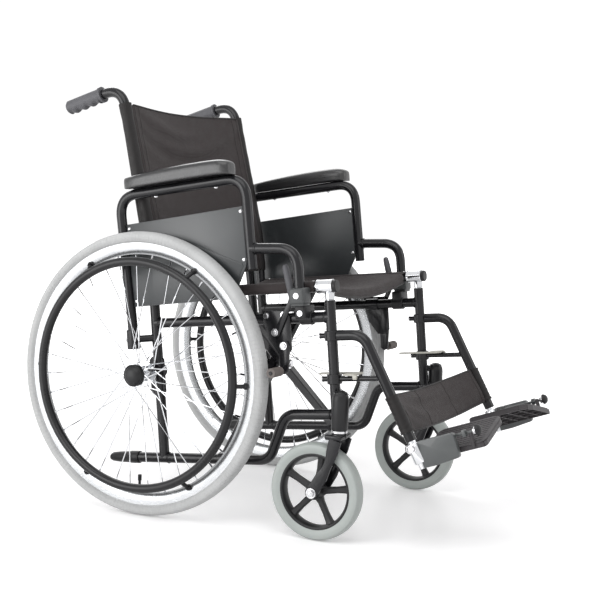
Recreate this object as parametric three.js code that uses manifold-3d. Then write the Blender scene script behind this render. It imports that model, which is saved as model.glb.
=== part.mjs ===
// A folding manual wheelchair: two pitched side frames joined by a scissor cross brace, with
// spoked rear wheels, swivelling casters, lift-out armrests and swing-away leg rests.
// Millimetres, +Z up, the chair faces -Y, and the chair's right-hand side is -X.
import * as THREE from 'three';
import { mergeVertices } from 'three/addons/utils/BufferGeometryUtils.js';
import Module from 'manifold-3d';

const wasm = await Module();
wasm.setup();

// ---- driving dimensions ----------------------------------------------------------------
const GAP = 0.3;                    // clearance between pieces that touch
const FRAME_WIDTH = 480;            // between the centrelines of the two side frames
const TUBE_R = 11;                  // frame tube
const TUBE_SIDES = 10;
const PITCH = THREE.MathUtils.degToRad(6);   // nose-up pitch of both side frames

const WHEEL_R = 305;                // rear tyre
const TYRE_HALF_WIDTH = 17;
const TYRE_DEPTH = 30;
const RIM_DEPTH = 16;
const RIM_HALF_WIDTH = 12;
const WHEEL_OFFSET = 58;            // wheel plane, outboard of the side frame
const HANDRIM_R = 242;
const HANDRIM_TUBE_R = 9.5;
const HANDRIM_OFFSET = 31;          // outboard of the wheel plane
const HANDRIM_TABS = 6;
const SPOKES = 36;
const WHEEL_SEGMENTS = 40;
const SPOKE_R = 1.2;
const HUB_R = 20;
const HUB_IN = 15;                  // flanges, inboard and outboard of the wheel plane
const HUB_OUT = 26;
const AXLE_R = 7;
const HUB_CAP_R = 24;

const CASTER_R = 100;
const CASTER_HALF_WIDTH = 16;
const CASTER_TYRE_DEPTH = 22;
const CASTER_SPOKES = 5;
const CASTER_TRAIL = 46;
const CASTER_OFFSET = 24;           // swivel axis, outboard of the side frame
const CASTER_Y = -455;              // swivel axis, ahead of the rear axle
const HOUSING_R = 14;
const HOUSING_LOW = 226;            // height of the caster housing
const HOUSING_TOP = 307;
const FORK_ARM = 5;
const FORK_GAP = 6;                 // each side of the caster wheel
const STEM_R = 7;

// Side frame, measured along the pitched frame: a runs forward of the rear upright, and b
// runs up from the lower rail.
const ORIGIN_Y = -25;
const ORIGIN_Z = 116;
const FRONT_A = 424;                // front upright
const SIDE_RAIL_B = 295;
const SEAT_RAIL_B = 357;
const UPRIGHT_TOP_B = 329;
const RAIL_TAIL_A = -64;            // rear end of the lower rail
const TAIL_CAP = 76;
const STEP_A = 262;                 // where the lower rail starts to climb
const STEP_RUN = 44;
const STEP_B = 96;
const CANE_KINK_B = 480;            // the push cane leans back from here up
const CANE_LEAN = THREE.MathUtils.degToRad(8.3);
const CANE_BEND = 32;
const CANE_TOP_B = 813;
const GRIP_END = [-189, 784];       // (a, b) of the cane's end, inside its grip
const GRIP_LENGTH = 92;
const GRIP_R = 16;

const SEAT_RAIL_BACK = 16;
const SEAT_RAIL_FRONT = 439;         // with its end plug
const SADDLE_LENGTH = 35;
const SADDLE_WALL = 3;
const GUIDE_R = 8;                  // guide tube that slides inside the front upright
const GUIDE_DEPTH = 245;
const BRACE_A = 168;                // where the cross braces meet the lower rails
const BRACE_THICK = 16;
const BRACE_DEEP = 24;
const BRACE_PITCH = 28;             // between the two braces, along the frame
const SLEEVE_LENGTH = 26;
const BOLT_R = 5;

const PAD_SHIFT = 12;               // pad, outboard of the armrest tube
const ARM_OFFSET = 28;              // armrest plane, outboard of the side frame
const ARM_REAR_A = -42;
const ARM_FRONT_A = 265;
const ARM_TOP_B = 584;
const ARM_KINK_B = 300;             // the rear leg leans back from here up
const ARM_LEAN = 12;
const ARM_LEG_B = 400;
const ARM_TUBE_B = 443;
const ARM_SOCKET_A = 371;
const ARM_SOCKET_B = 323;
const ARM_BEND = 34;
const PAD_BACK = -27;
const PAD_FRONT = 240;
const PAD_WIDTH = 50;
const PAD_THICK = 32;
const PANEL_THICK = 4;
const SOCKET_WALL = 3;
const REAR_SOCKET_B = 242;
const REAR_SOCKET_HEIGHT = 42;

const HANGER_B = 257;               // upper collar of the leg rest
const LATCH_B = 169;                // lower collar
const LATCH_BAR_R = 5.5;
const COLLAR_WALL = 4;
const COLLAR_HEIGHT = 20;
const HANGER_KNEE_A = 494;
const HANGER_END_A = 584;
const HANGER_END_B = 44;
const FOOT_TUBE_R = 7.5;
const FOOT_TUBE_OUT = 58;           // below the end of the leg-rest tube
const FOOT_TUBE_IN = 120;           // inside it
const FOOT_PITCH = THREE.MathUtils.degToRad(14);
const FOOT_ARM_LENGTH = 106;
const FOOT_ARM_HEIGHT = 54;
const FOOT_ARM_THICK = 14;
const PLATE_WIDTH = 146;
const PLATE_LENGTH = 142;
const PLATE_THICK = 13;
const PLATE_AHEAD = 38;             // footplate ahead of its hinge's front end
const PLATE_TILT = THREE.MathUtils.degToRad(13);
const HINGE_PIN_R = 3;
const HINGE_EAR_R = 5.4;
const PIN_R = 4;

const BRAKE_PIVOT = [304, 268];     // (a, b) of the lever's pivot
const BRAKE_ARM_PIVOT = [322, 240];
const ROLLER = [320, 190];
const ROLLER_R = 10;
const BRAKE_TIP = [340, 404];
const PLATE = 4.5;                  // thickness of the brake's plates

const SEAT_THICK = 4;
const SEAT_FRONT = 396;
const BACK_LOW_B = 392;
const BACK_HIGH_B = 776;
const FABRIC_WALL = 2.5;
const STRAP_HIGH = 0.58;            // share of the way down the leg rest's straight run
const STRAP_LOW = 0.92;

// ---- colours -----------------------------------------------------------------------------
const finish = (color, roughness, metalness) =>
  new THREE.MeshStandardMaterial({ color, roughness, metalness });
const LOOK = {
  frame: finish(0x0b0b0d, 0.25, 0.1),
  handrim: finish(0x141416, 0.35, 0.1),
  chrome: finish(0xc8c9cc, 0.2, 1.0),
  alloy: finish(0xb9bbbe, 0.35, 0.9),
  tyre: finish(0xb4b6b4, 0.8, 0),
  casterTyre: finish(0x9aa29c, 0.75, 0),
  plastic: finish(0x121314, 0.45, 0),
  panel: finish(0x202326, 0.4, 0),
  grip: finish(0x4b4c50, 0.7, 0),
  pad: finish(0x0c0d0e, 0.35, 0),
  fabric: finish(0x241d1d, 0.9, 0),
  grey: finish(0x55595c, 0.5, 0.1),
};

// ---- solids --------------------------------------------------------------------------------
function toSolid(geometry) {
  let plain = geometry.clone();
  plain.deleteAttribute('normal');
  plain.deleteAttribute('uv');
  plain = mergeVertices(plain, 1e-4);
  return new wasm.Manifold(new wasm.Mesh({
    numProp: 3,
    vertProperties: Float32Array.from(plain.attributes.position.array),
    triVerts: Uint32Array.from(plain.index.array),
  }));
}

function toGeometry(solid) {
  const mesh = solid.getMesh();
  const geometry = new THREE.BufferGeometry();
  geometry.setAttribute('position', new THREE.BufferAttribute(mesh.vertProperties, 3));
  geometry.setIndex(new THREE.BufferAttribute(mesh.triVerts, 1));
  geometry.computeVertexNormals();
  return geometry;
}

function build(added, removed = []) {
  let solid = toSolid(added[0]);
  for (const geometry of added.slice(1)) solid = solid.add(toSolid(geometry));
  for (const geometry of removed) solid = solid.subtract(toSolid(geometry));
  return toGeometry(solid);
}

// Radius of a bore that clears a round piece; the bore is cut with flat facets.
const boreFor = (radius, sides = 12) => (radius + GAP) / Math.cos(Math.PI / sides);

const point = (x, a, b) => new THREE.Vector3(x, -a, b);   // a place on the pitched frame

function rod(start, end, radius, sides = TUBE_SIDES) {
  const run = end.clone().sub(start);
  const geometry = new THREE.CylinderGeometry(radius, radius, run.length(), sides);
  const turn = new THREE.Quaternion().setFromUnitVectors(
    new THREE.Vector3(0, 1, 0), run.clone().normalize());
  geometry.applyQuaternion(turn);
  const middle = start.clone().add(end).multiplyScalar(0.5);
  return geometry.translate(middle.x, middle.y, middle.z);
}

// A path of straight runs whose corners are rounded by short arcs.
class RoundedPath extends THREE.Curve {
  constructor(corners, bend, arcSteps = 4) {
    super();
    this.stops = [corners[0]];
    for (let i = 1; i < corners.length - 1; i += 1) {
      const corner = corners[i];
      const back = corners[i - 1].clone().sub(corner);
      const ahead = corners[i + 1].clone().sub(corner);
      const reach = Math.min(bend, back.length() * 0.49, ahead.length() * 0.49);
      const arc = new THREE.QuadraticBezierCurve3(
        corner.clone().add(back.setLength(reach)), corner,
        corner.clone().add(ahead.setLength(reach)));
      this.stops.push(...arc.getPoints(arcSteps));
    }
    this.stops.push(corners[corners.length - 1]);
  }

  getPoint(t) {
    const place = t * (this.stops.length - 1);
    const index = Math.min(Math.floor(place), this.stops.length - 2);
    return this.stops[index].clone().lerp(this.stops[index + 1], place - index);
  }

  getPointAt(t) { return this.getPoint(t); }

  getSpacedPoints() { return this.stops; }

  getTangentAt(t) {
    const index = Math.round(t * (this.stops.length - 1));
    const before = this.stops[Math.max(index - 1, 0)];
    const after = this.stops[Math.min(index + 1, this.stops.length - 1)];
    return after.clone().sub(before).normalize();
  }
}

function pipe(corners, radius = TUBE_R, bend = 30, sides = TUBE_SIDES) {
  const path = new RoundedPath(corners, bend);
  const section = new THREE.Shape();
  for (let i = 0; i < sides; i += 1) {
    const turn = (i + 0.5) * 2 * Math.PI / sides;
    const step = i === 0 ? 'moveTo' : 'lineTo';
    section[step](radius * Math.cos(turn), radius * Math.sin(turn));
  }
  return new THREE.ExtrudeGeometry(section, {
    steps: path.stops.length - 1, bevelEnabled: false, extrudePath: path,
  });
}

// A closed ring about the X axis; the profile lists (radius, x) pairs.
function ring(profile, segments) {
  const step = Math.PI / segments;    // flats, not corners, lie at the stated radius
  const points = profile.map(([radius, x]) => new THREE.Vector2(radius / Math.cos(step), x));
  points.push(points[0].clone());
  return new THREE.LatheGeometry(points, segments, step).rotateZ(-Math.PI / 2);
}

function torus(radius, tubeRadius, segments, sides) {
  const profile = [];
  for (let i = 0; i < sides; i += 1) {
    const turn = i * 2 * Math.PI / sides;
    profile.push([radius + tubeRadius * Math.cos(turn), tubeRadius * Math.sin(turn)]);
  }
  return ring(profile, segments);
}

function block(x, y, z, width, depth, height) {
  return new THREE.BoxGeometry(width, depth, height).translate(x, y, z);
}

// A flat plate in the side plane: an (a, b) outline with thickness along X, centred on x.
function sidePlate(outline, x, thickness) {
  const shape = new THREE.Shape(outline.map(([a, b]) => new THREE.Vector2(-a, b)));
  const geometry = new THREE.ExtrudeGeometry(shape, { depth: thickness, bevelEnabled: false });
  geometry.applyMatrix4(new THREE.Matrix4().makeBasis(
    new THREE.Vector3(0, 1, 0), new THREE.Vector3(0, 0, 1), new THREE.Vector3(1, 0, 0)));
  return geometry.translate(x - thickness / 2, 0, 0);
}

function piece(parent, name, geometry, look) {
  const mesh = new THREE.Mesh(geometry, look);
  mesh.name = name;
  parent.add(mesh);
  return mesh;
}

// ---- rear wheel, built around its own centre with +X outboard for side +1 -------------------
function rearWheel(group, side, tag) {
  const rimOuter = WHEEL_R - TYRE_DEPTH;
  const rimInner = rimOuter - RIM_DEPTH;
  const w = TYRE_HALF_WIDTH;
  const tyre = ring([[rimOuter + GAP, -w * 0.6], [WHEEL_R - 16, -w], [WHEEL_R - 5, -w * 0.72],
    [WHEEL_R, 0], [WHEEL_R - 5, w * 0.72], [WHEEL_R - 16, w], [rimOuter + GAP, w * 0.6]], WHEEL_SEGMENTS);
  piece(group, `rear_tyre_${tag}`, tyre, LOOK.tyre);

  const h = RIM_HALF_WIDTH;
  const rim = ring([[rimOuter, -h], [rimOuter, h], [rimInner, h * 0.5], [rimInner, -h * 0.5]],
    WHEEL_SEGMENTS);
  piece(group, `rear_rim_${tag}`, rim, LOOK.alloy);

  const spoked = [rod(new THREE.Vector3(-side * (HUB_IN + 4), 0, 0),
    new THREE.Vector3(side * (HUB_OUT + 4), 0, 0), HUB_R * 0.75, 12)];
  for (const x of [-HUB_IN, HUB_OUT]) {
    spoked.push(rod(new THREE.Vector3(side * (x - 2), 0, 0),
      new THREE.Vector3(side * (x + 2), 0, 0), HUB_R + 5, 16));
  }
  const reach = rimInner - GAP;
  for (let i = 0; i < SPOKES; i += 1) {
    const atRim = (i + 0.5) * 2 * Math.PI / SPOKES;
    const lead = i % 2 ? 0.9 : -0.9;                // each flange's spokes lean one way
    const atHub = atRim + lead;
    const x = side * (i % 2 ? HUB_OUT : -HUB_IN);
    spoked.push(rod(
      new THREE.Vector3(x, HUB_R * Math.cos(atHub), HUB_R * Math.sin(atHub)),
      new THREE.Vector3(0, reach * Math.cos(atRim), reach * Math.sin(atRim)), SPOKE_R, 4));
  }
  const bore = rod(new THREE.Vector3(-60, 0, 0), new THREE.Vector3(60, 0, 0), boreFor(AXLE_R), 12);
  piece(group, `spoked_hub_${tag}`, build(spoked, [bore]), LOOK.chrome);

  const grip = [torus(HANDRIM_R, HANDRIM_TUBE_R, WHEEL_SEGMENTS, 8).translate(side * HANDRIM_OFFSET, 0, 0)];
  for (let i = 0; i < HANDRIM_TABS; i += 1) {
    const turn = (i + 0.5) * 2 * Math.PI / HANDRIM_TABS;
    const foot = rimInner + 5;        // trimmed back to the rim's flank below
    const tab = pipe([
      new THREE.Vector3(side * 4, 0, foot),
      new THREE.Vector3(side * (HANDRIM_OFFSET - 4), 0, foot - 10),
      new THREE.Vector3(side * HANDRIM_OFFSET, 0, HANDRIM_R)], 4.5, 8, 6);
    grip.push(tab.rotateX(turn));
  }
  const clear = ring([[rimOuter + 1, -h - GAP], [rimOuter + 1, h + GAP],
    [rimInner - GAP * 1.5, h * 0.5 + GAP], [rimInner - GAP * 1.5, -h * 0.5 - GAP]], WHEEL_SEGMENTS);
  piece(group, `handrim_${tag}`, build(grip, [clear]), LOOK.handrim);

  const cap = new THREE.LatheGeometry([
    new THREE.Vector2(0, 0), new THREE.Vector2(HUB_CAP_R, 0),
    new THREE.Vector2(HUB_CAP_R, 6), new THREE.Vector2(HUB_CAP_R * 0.6, 13),
    new THREE.Vector2(0, 15)], 16);
  cap.rotateZ(-side * Math.PI / 2).translate(side * (HUB_OUT + 4 + GAP), 0, 0);
  piece(group, `hub_cap_${tag}`, cap, LOOK.plastic);
}

// ---- caster, built around its swivel axis at the housing's lower end -------------------------
function caster(group, side, tag) {
  const drop = HOUSING_LOW - CASTER_R;
  const armX = CASTER_HALF_WIDTH + FORK_GAP + FORK_ARM / 2;
  const crown = CASTER_R + 14 - drop;
  const fork = [
    rod(new THREE.Vector3(0, 0, crown), new THREE.Vector3(0, 0, HOUSING_TOP - HOUSING_LOW - 12), STEM_R),
    rod(new THREE.Vector3(0, 0, crown), new THREE.Vector3(0, 0, -GAP), HOUSING_R, 12),
    block(0, 6, crown + 4, 2 * armX + FORK_ARM, 34, 10)];
  for (const x of [-armX, armX]) {
    const leg = pipe([new THREE.Vector3(x, 2, crown + 2), new THREE.Vector3(x, 16, -drop * 0.5),
      new THREE.Vector3(x, CASTER_TRAIL, -drop)], 9, 30, 8);
    leg.translate(-x, 0, 0).scale(FORK_ARM / 18, 1, 1).translate(x, 0, 0);
    fork.push(leg);
    fork.push(rod(new THREE.Vector3(x - FORK_ARM / 2, CASTER_TRAIL, -drop),
      new THREE.Vector3(x + FORK_ARM / 2, CASTER_TRAIL, -drop), 13, 12));
  }
  const hole = rod(new THREE.Vector3(-60, CASTER_TRAIL, -drop),
    new THREE.Vector3(60, CASTER_TRAIL, -drop), boreFor(BOLT_R, 8), 8);
  piece(group, `caster_fork_${tag}`, build(fork, [hole]), LOOK.frame);

  const wheel = new THREE.Group();
  wheel.position.set(0, CASTER_TRAIL, -drop);
  group.add(wheel);
  const rimR = CASTER_R - CASTER_TYRE_DEPTH;
  const w = CASTER_HALF_WIDTH;
  const tyre = ring([[rimR + GAP, -w * 0.8], [CASTER_R - 9, -w], [CASTER_R, -w * 0.45],
    [CASTER_R, w * 0.45], [CASTER_R - 9, w], [rimR + GAP, w * 0.8]], 36);
  piece(wheel, `caster_tyre_${tag}`, tyre, LOOK.casterTyre);
  const centre = [
    ring([[rimR, -w * 0.8], [rimR, w * 0.8], [rimR - 9, w * 0.6], [rimR - 9, -w * 0.6]], 36),
    rod(new THREE.Vector3(-w - 3, 0, 0), new THREE.Vector3(w + 3, 0, 0), 15, 14)];
  for (let i = 0; i < CASTER_SPOKES; i += 1) {
    centre.push(block(0, 0, rimR / 2, w * 0.8, 15, rimR - 8)
      .rotateX(i * 2 * Math.PI / CASTER_SPOKES));
  }
  const bore = rod(new THREE.Vector3(-60, 0, 0), new THREE.Vector3(60, 0, 0), boreFor(BOLT_R, 8), 8);
  piece(wheel, `caster_wheel_${tag}`, build(centre, [bore]), LOOK.plastic);

  const end = armX + FORK_ARM / 2 + GAP;
  const axle = [rod(new THREE.Vector3(-end - 5, 0, 0), new THREE.Vector3(end + 5, 0, 0), BOLT_R, 8)];
  for (const turn of [-1, 1]) {
    axle.push(rod(new THREE.Vector3(turn * end, 0, 0), new THREE.Vector3(turn * (end + 7), 0, 0), 8, 6));
  }
  const bolt = piece(group, `caster_axle_${tag}`, build(axle), LOOK.chrome);
  bolt.position.copy(wheel.position);
}

// ---- side frame ------------------------------------------------------------------------------
const caneA = (b) => -Math.max(0, b - CANE_KINK_B) * Math.tan(CANE_LEAN);
const toFrame = (y, z) => [
  -(y - ORIGIN_Y) * Math.cos(PITCH) + (z - ORIGIN_Z) * Math.sin(PITCH),
  (y - ORIGIN_Y) * Math.sin(PITCH) + (z - ORIGIN_Z) * Math.cos(PITCH)];
const AXLE = toFrame(0, WHEEL_R);

function sideFrame(group, side, tag) {
  const x = side * FRAME_WIDTH / 2;
  const housingX = x + side * CASTER_OFFSET;
  const [lowA, lowB] = toFrame(CASTER_Y, HOUSING_LOW);
  const [topA, topB] = toFrame(CASTER_Y, HOUSING_TOP);
  const gripEnd = point(x, ...GRIP_END);
  const corner = point(x, caneA(CANE_TOP_B), CANE_TOP_B);
  const housing = rod(point(housingX, lowA, lowB), point(housingX, topA, topB), HOUSING_R, 12);
  const tubes = [
    pipe([point(x, 0, 0), point(x, 0, CANE_KINK_B), corner, gripEnd], TUBE_R, CANE_BEND),
    pipe([point(x, RAIL_TAIL_A, 0), point(x, STEP_A, 0), point(x, STEP_A + STEP_RUN, STEP_B),
      point(x, FRONT_A + 8, STEP_B)], TUBE_R, 20),
    rod(point(x, 0, SIDE_RAIL_B), point(x, FRONT_A, SIDE_RAIL_B), TUBE_R),
    rod(point(x, FRONT_A, STEP_B), point(x, FRONT_A, UPRIGHT_TOP_B), TUBE_R),
    housing,
    rod(point(x, FRONT_A, STEP_B), point(housingX, (lowA + topA) / 2, STEP_B + 6), 9, 8),
    rod(point(x, FRONT_A, STEP_B + 44), point(housingX, (lowA + topA) / 2, STEP_B + 40), 7, 8),
    // axle boss between the rear upright and the wheel
    rod(point(x, AXLE[0], AXLE[1]), point(x + side * (WHEEL_OFFSET - HUB_IN - 6), AXLE[0], AXLE[1]), 15, 12),
    sidePlate([[AXLE[0] - 17, AXLE[1] - 30], [14, AXLE[1] - 30], [14, AXLE[1] + 30],
      [AXLE[0] - 17, AXLE[1] + 30]], x, 8),
  ];
  const guideBore = rod(point(x, FRONT_A, UPRIGHT_TOP_B - GUIDE_DEPTH + 8),
    point(x, FRONT_A, UPRIGHT_TOP_B + 20), boreFor(GUIDE_R), 12);
  const stemBore = rod(point(housingX, ...toFrame(CASTER_Y, HOUSING_LOW - 10)),
    point(housingX, ...toFrame(CASTER_Y, HOUSING_TOP - 10)), boreFor(STEM_R, TUBE_SIDES));
  const axleBore = rod(point(x - side * 60, AXLE[0], AXLE[1]), point(x + side * 90, AXLE[0], AXLE[1]),
    boreFor(AXLE_R), 12);
  piece(group, `side_frame_${tag}`, build(tubes, [guideBore, stemBore, axleBore]), LOOK.frame);

  const axle = [rod(point(x - side * 22, AXLE[0], AXLE[1]),
    point(x + side * (WHEEL_OFFSET + HUB_OUT + 3), AXLE[0], AXLE[1]), AXLE_R, 12),
  rod(point(x - side * (TUBE_R + 4 + GAP), AXLE[0], AXLE[1]), point(x - side * 26, AXLE[0], AXLE[1]), 12, 6)];
  piece(group, `rear_axle_${tag}`, build(axle), LOOK.chrome);

  const tail = point(x, RAIL_TAIL_A - GAP, 0);
  const plug = rod(tail, tail.clone().add(new THREE.Vector3(0, TAIL_CAP, 0)), TUBE_R + 2.5);
  piece(group, `tip_cap_${tag}`, plug, LOOK.plastic);

  const gripAxis = gripEnd.clone().sub(corner).normalize();
  const sleeve = gripEnd.clone().addScaledVector(gripAxis, -GRIP_LENGTH);
  const gripTip = gripEnd.clone().addScaledVector(gripAxis, 5);
  const grip = build([rod(sleeve, gripTip, GRIP_R, 12)], [rod(
    sleeve.clone().addScaledVector(gripAxis, -2), gripEnd.clone().addScaledVector(gripAxis, GAP),
    boreFor(TUBE_R, TUBE_SIDES))]);
  piece(group, `push_grip_${tag}`, grip, LOOK.grip);
}

// ---- seat rail, cross brace and guide, one set for each side ---------------------------------
const BRACE_HALF = Math.hypot(FRAME_WIDTH, SEAT_RAIL_B) / 2;

function crossBrace(group, side, tag) {
  // The brace starts at the lower rail on this side and carries the seat rail on the other.
  const lowX = side * FRAME_WIDTH / 2;
  const highX = -lowX;
  const a = BRACE_A + side * BRACE_PITCH / 2;
  const tilt = Math.atan2(SEAT_RAIL_B, -2 * lowX);
  const trim = TUBE_R + 1;          // the bar stops at its sleeve and runs into the seat rail
  const bar = block(trim / 2, 0, 0, 2 * BRACE_HALF - trim, BRACE_THICK, BRACE_DEEP);
  bar.rotateY(-tilt).translate(0, -a, SEAT_RAIL_B / 2);
  const sleeve = rod(point(lowX, a - SLEEVE_LENGTH / 2, 0), point(lowX, a + SLEEVE_LENGTH / 2, 0),
    TUBE_R + 4, 12);
  const rail = rod(point(highX, SEAT_RAIL_BACK, SEAT_RAIL_B), point(highX, SEAT_RAIL_FRONT, SEAT_RAIL_B),
    TUBE_R);
  const bore = rod(point(lowX, a - 30, 0), point(lowX, a + 30, 0), boreFor(TUBE_R), 12);
  const hole = rod(point(0, BRACE_A - 60, SEAT_RAIL_B / 2), point(0, BRACE_A + 60, SEAT_RAIL_B / 2),
    boreFor(BOLT_R, 8), 8);
  piece(group, `cross_brace_${tag}`, build([bar, sleeve, rail], [bore, hole]), LOOK.frame);
}

function seatGuide(group, side, tag) {
  const x = side * FRAME_WIDTH / 2;
  const outer = boreFor(TUBE_R) + SADDLE_WALL;
  const tee = [
    rod(point(x, FRONT_A + 10 - SADDLE_LENGTH, SEAT_RAIL_B), point(x, FRONT_A + 10, SEAT_RAIL_B), outer, 12),
    rod(point(x, FRONT_A, SEAT_RAIL_B - TUBE_R - 2), point(x, FRONT_A, UPRIGHT_TOP_B - GUIDE_DEPTH + 16),
      GUIDE_R, 12),
    rod(point(x, FRONT_A, SEAT_RAIL_B - TUBE_R - 2), point(x, FRONT_A, UPRIGHT_TOP_B + GAP), TUBE_R - 1, 12)];
  const bore = rod(point(x, FRONT_A - 80, SEAT_RAIL_B), point(x, FRONT_A + 60, SEAT_RAIL_B),
    boreFor(TUBE_R), 12);
  piece(group, `seat_guide_${tag}`, build(tee, [bore]), LOOK.alloy);
}

// ---- armrest ---------------------------------------------------------------------------------
function armrest(group, side, tag) {
  const x = side * (FRAME_WIDTH / 2 + ARM_OFFSET);
  const rearA = (b) => ARM_REAR_A - ARM_LEAN * (b - ARM_KINK_B) / (ARM_TOP_B - 10 - ARM_KINK_B);
  const upper = [point(x, rearA(ARM_TOP_B - 10), ARM_TOP_B - 10),
    point(x, ARM_FRONT_A - 4, ARM_TOP_B + 6), point(x, ARM_FRONT_A, ARM_LEG_B)];
  const loop = pipe([point(x, ARM_REAR_A, REAR_SOCKET_B + 4), point(x, ARM_REAR_A, ARM_KINK_B), ...upper],
    TUBE_R, ARM_BEND);
  const front = pipe([point(x, ARM_FRONT_A, ARM_TUBE_B), point(x, ARM_SOCKET_A, ARM_TUBE_B - 6),
    point(x, ARM_SOCKET_A, ARM_SOCKET_B + 3)], TUBE_R, ARM_BEND);
  piece(group, `armrest_frame_${tag}`, build([loop, front]), LOOK.frame);

  const slope = Math.atan2(upper[1].z - upper[0].z, upper[0].y - upper[1].y);
  const padTop = upper[0].z + upper[0].y * Math.tan(slope) + TUBE_R - 0.4 + PAD_THICK;
  const outline = new THREE.Shape();
  const half = PAD_WIDTH / 2;
  outline.moveTo(-half, PAD_BACK + 14);
  outline.quadraticCurveTo(-half, PAD_BACK, 0, PAD_BACK);
  outline.quadraticCurveTo(half, PAD_BACK, half, PAD_BACK + 14);
  outline.lineTo(half, PAD_FRONT - 20);
  outline.quadraticCurveTo(half, PAD_FRONT, 0, PAD_FRONT);
  outline.quadraticCurveTo(-half, PAD_FRONT, -half, PAD_FRONT - 20);
  const pad = new THREE.ExtrudeGeometry(outline, { depth: PAD_THICK, bevelEnabled: false, curveSegments: 3 });
  pad.scale(1, -1, -1).rotateX(-slope).translate(x + side * PAD_SHIFT, 0, padTop);
  const groove = pipe([point(x, rearA(ARM_LEG_B), ARM_LEG_B), ...upper], boreFor(TUBE_R), ARM_BEND);
  piece(group, `arm_pad_${tag}`, build([pad], [groove]), LOOK.pad);

  const seat = TUBE_R + GAP;          // the panel sits between the two legs
  const lean = 4 * (531 - ARM_LEG_B) / (ARM_TOP_B + 6 - ARM_LEG_B);
  const panel = sidePlate([[rearA(333) + seat, 333], [180, 341], [222, 352],
    [ARM_FRONT_A - seat - 0.3, 414], [ARM_FRONT_A - seat - lean, 531], [rearA(512) + seat, 512]],
  x, PANEL_THICK);
  piece(group, `side_panel_${tag}`, panel, LOOK.panel);
}

function armSockets(group, side, tag) {
  const frameX = side * FRAME_WIDTH / 2;
  const x = frameX + side * ARM_OFFSET;
  const ringR = boreFor(TUBE_R) + SOCKET_WALL;
  const rear = [
    rod(point(x, ARM_REAR_A, REAR_SOCKET_B), point(x, ARM_REAR_A, REAR_SOCKET_B + REAR_SOCKET_HEIGHT),
      ringR, 12),
    rod(point(x, ARM_REAR_A, REAR_SOCKET_B + 21), point(frameX, 0, REAR_SOCKET_B + 21), 8, 8)];
  const rearCut = [
    rod(point(x, ARM_REAR_A, REAR_SOCKET_B + 2), point(x, ARM_REAR_A, REAR_SOCKET_B + 80),
      boreFor(TUBE_R), 12),
    rod(point(frameX, 0, REAR_SOCKET_B - 30), point(frameX, 0, SIDE_RAIL_B), boreFor(TUBE_R), 12)];
  piece(group, `arm_socket_rear_${tag}`, build(rear, rearCut), LOOK.frame);

  const wide = ARM_OFFSET + 2 * TUBE_R + 8;
  const low = SIDE_RAIL_B - 4;
  const high = ARM_SOCKET_B + 34;
  const front = [block(frameX + side * ARM_OFFSET / 2, -ARM_SOCKET_A, (low + high) / 2, wide, 34,
    high - low)];
  const frontCut = [
    rod(point(frameX, 300, SIDE_RAIL_B), point(frameX, 440, SIDE_RAIL_B), boreFor(TUBE_R), 12),
    rod(point(x, ARM_SOCKET_A, ARM_SOCKET_B), point(x, ARM_SOCKET_A, high + 20), boreFor(TUBE_R), 12),
    block(frameX, -ARM_SOCKET_A, SEAT_RAIL_B, 2 * TUBE_R + 8, 60, 2 * TUBE_R + 8),
    block(frameX, -ARM_SOCKET_A, low, 2 * boreFor(TUBE_R), 60, 12)];
  piece(group, `arm_socket_front_${tag}`, build(front, frontCut), LOOK.grey);
}

// ---- brake -----------------------------------------------------------------------------------
function brake(group, side, tag) {
  const frameX = side * FRAME_WIDTH / 2;
  const innerX = frameX + side * (TUBE_R + GAP + PLATE / 2);
  const armX = innerX + side * (PLATE + GAP);
  const base = sidePlate([[278, 310], [332, 310], [336, 226], [308, 226], [288, 254]], innerX, PLATE);
  const pins = [BRAKE_PIVOT, BRAKE_ARM_PIVOT].map(([a, b]) =>
    rod(point(innerX, a, b), point(armX + side * (PLATE / 2 + 4), a, b), PIN_R, 8));
  const strap = block(frameX, -305, SIDE_RAIL_B - TUBE_R - 4, 2 * TUBE_R + 4, 26, 5);
  const hook = block(frameX - side * (TUBE_R + 2.5), -305, SIDE_RAIL_B - 3, 4, 26, 2 * TUBE_R);
  const link = block(innerX, -305, SIDE_RAIL_B - TUBE_R - 4, PLATE, 26, 5);
  const around = rod(point(frameX, 270, SIDE_RAIL_B), point(frameX, 345, SIDE_RAIL_B), boreFor(TUBE_R), 12);
  piece(group, `brake_bracket_${tag}`, build([base, ...pins, strap, hook, link], [around]), LOOK.chrome);

  const pinHole = ([a, b]) => rod(point(innerX, a, b), point(armX + side * 20, a, b), boreFor(PIN_R, 8), 8);
  const [leverA, leverB] = BRAKE_PIVOT;
  const [tipA, tipB] = BRAKE_TIP;
  const lever = build([
    sidePlate([[leverA - 9, leverB - 8], [leverA + 9, leverB - 8], [leverA + 42, leverB + 56],
      [tipA + 12, tipB - 26], [tipA + 6, tipB], [tipA - 8, tipB], [tipA - 4, tipB - 26],
      [leverA + 28, leverB + 58]], armX, PLATE)], [pinHole(BRAKE_PIVOT)]);
  piece(group, `brake_lever_${tag}`, lever, LOOK.frame);

  const [pivotA, pivotB] = BRAKE_ARM_PIVOT;
  const [rollA, rollB] = ROLLER;
  const arm = build([
    sidePlate([[pivotA - 9, pivotB + 9], [pivotA + 9, pivotB + 9], [rollA + 9, rollB - 9],
      [rollA - 9, rollB - 9]], armX, PLATE),
    rod(point(armX, rollA, rollB), point(frameX + side * (WHEEL_OFFSET + 22), rollA, rollB), PIN_R, 8),
    rod(point(frameX + side * (WHEEL_OFFSET - 20), rollA, rollB),
      point(frameX + side * (WHEEL_OFFSET + 20), rollA, rollB), ROLLER_R, 12)], [pinHole(BRAKE_ARM_PIVOT)]);
  piece(group, `brake_arm_${tag}`, arm, LOOK.chrome);
}

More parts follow.
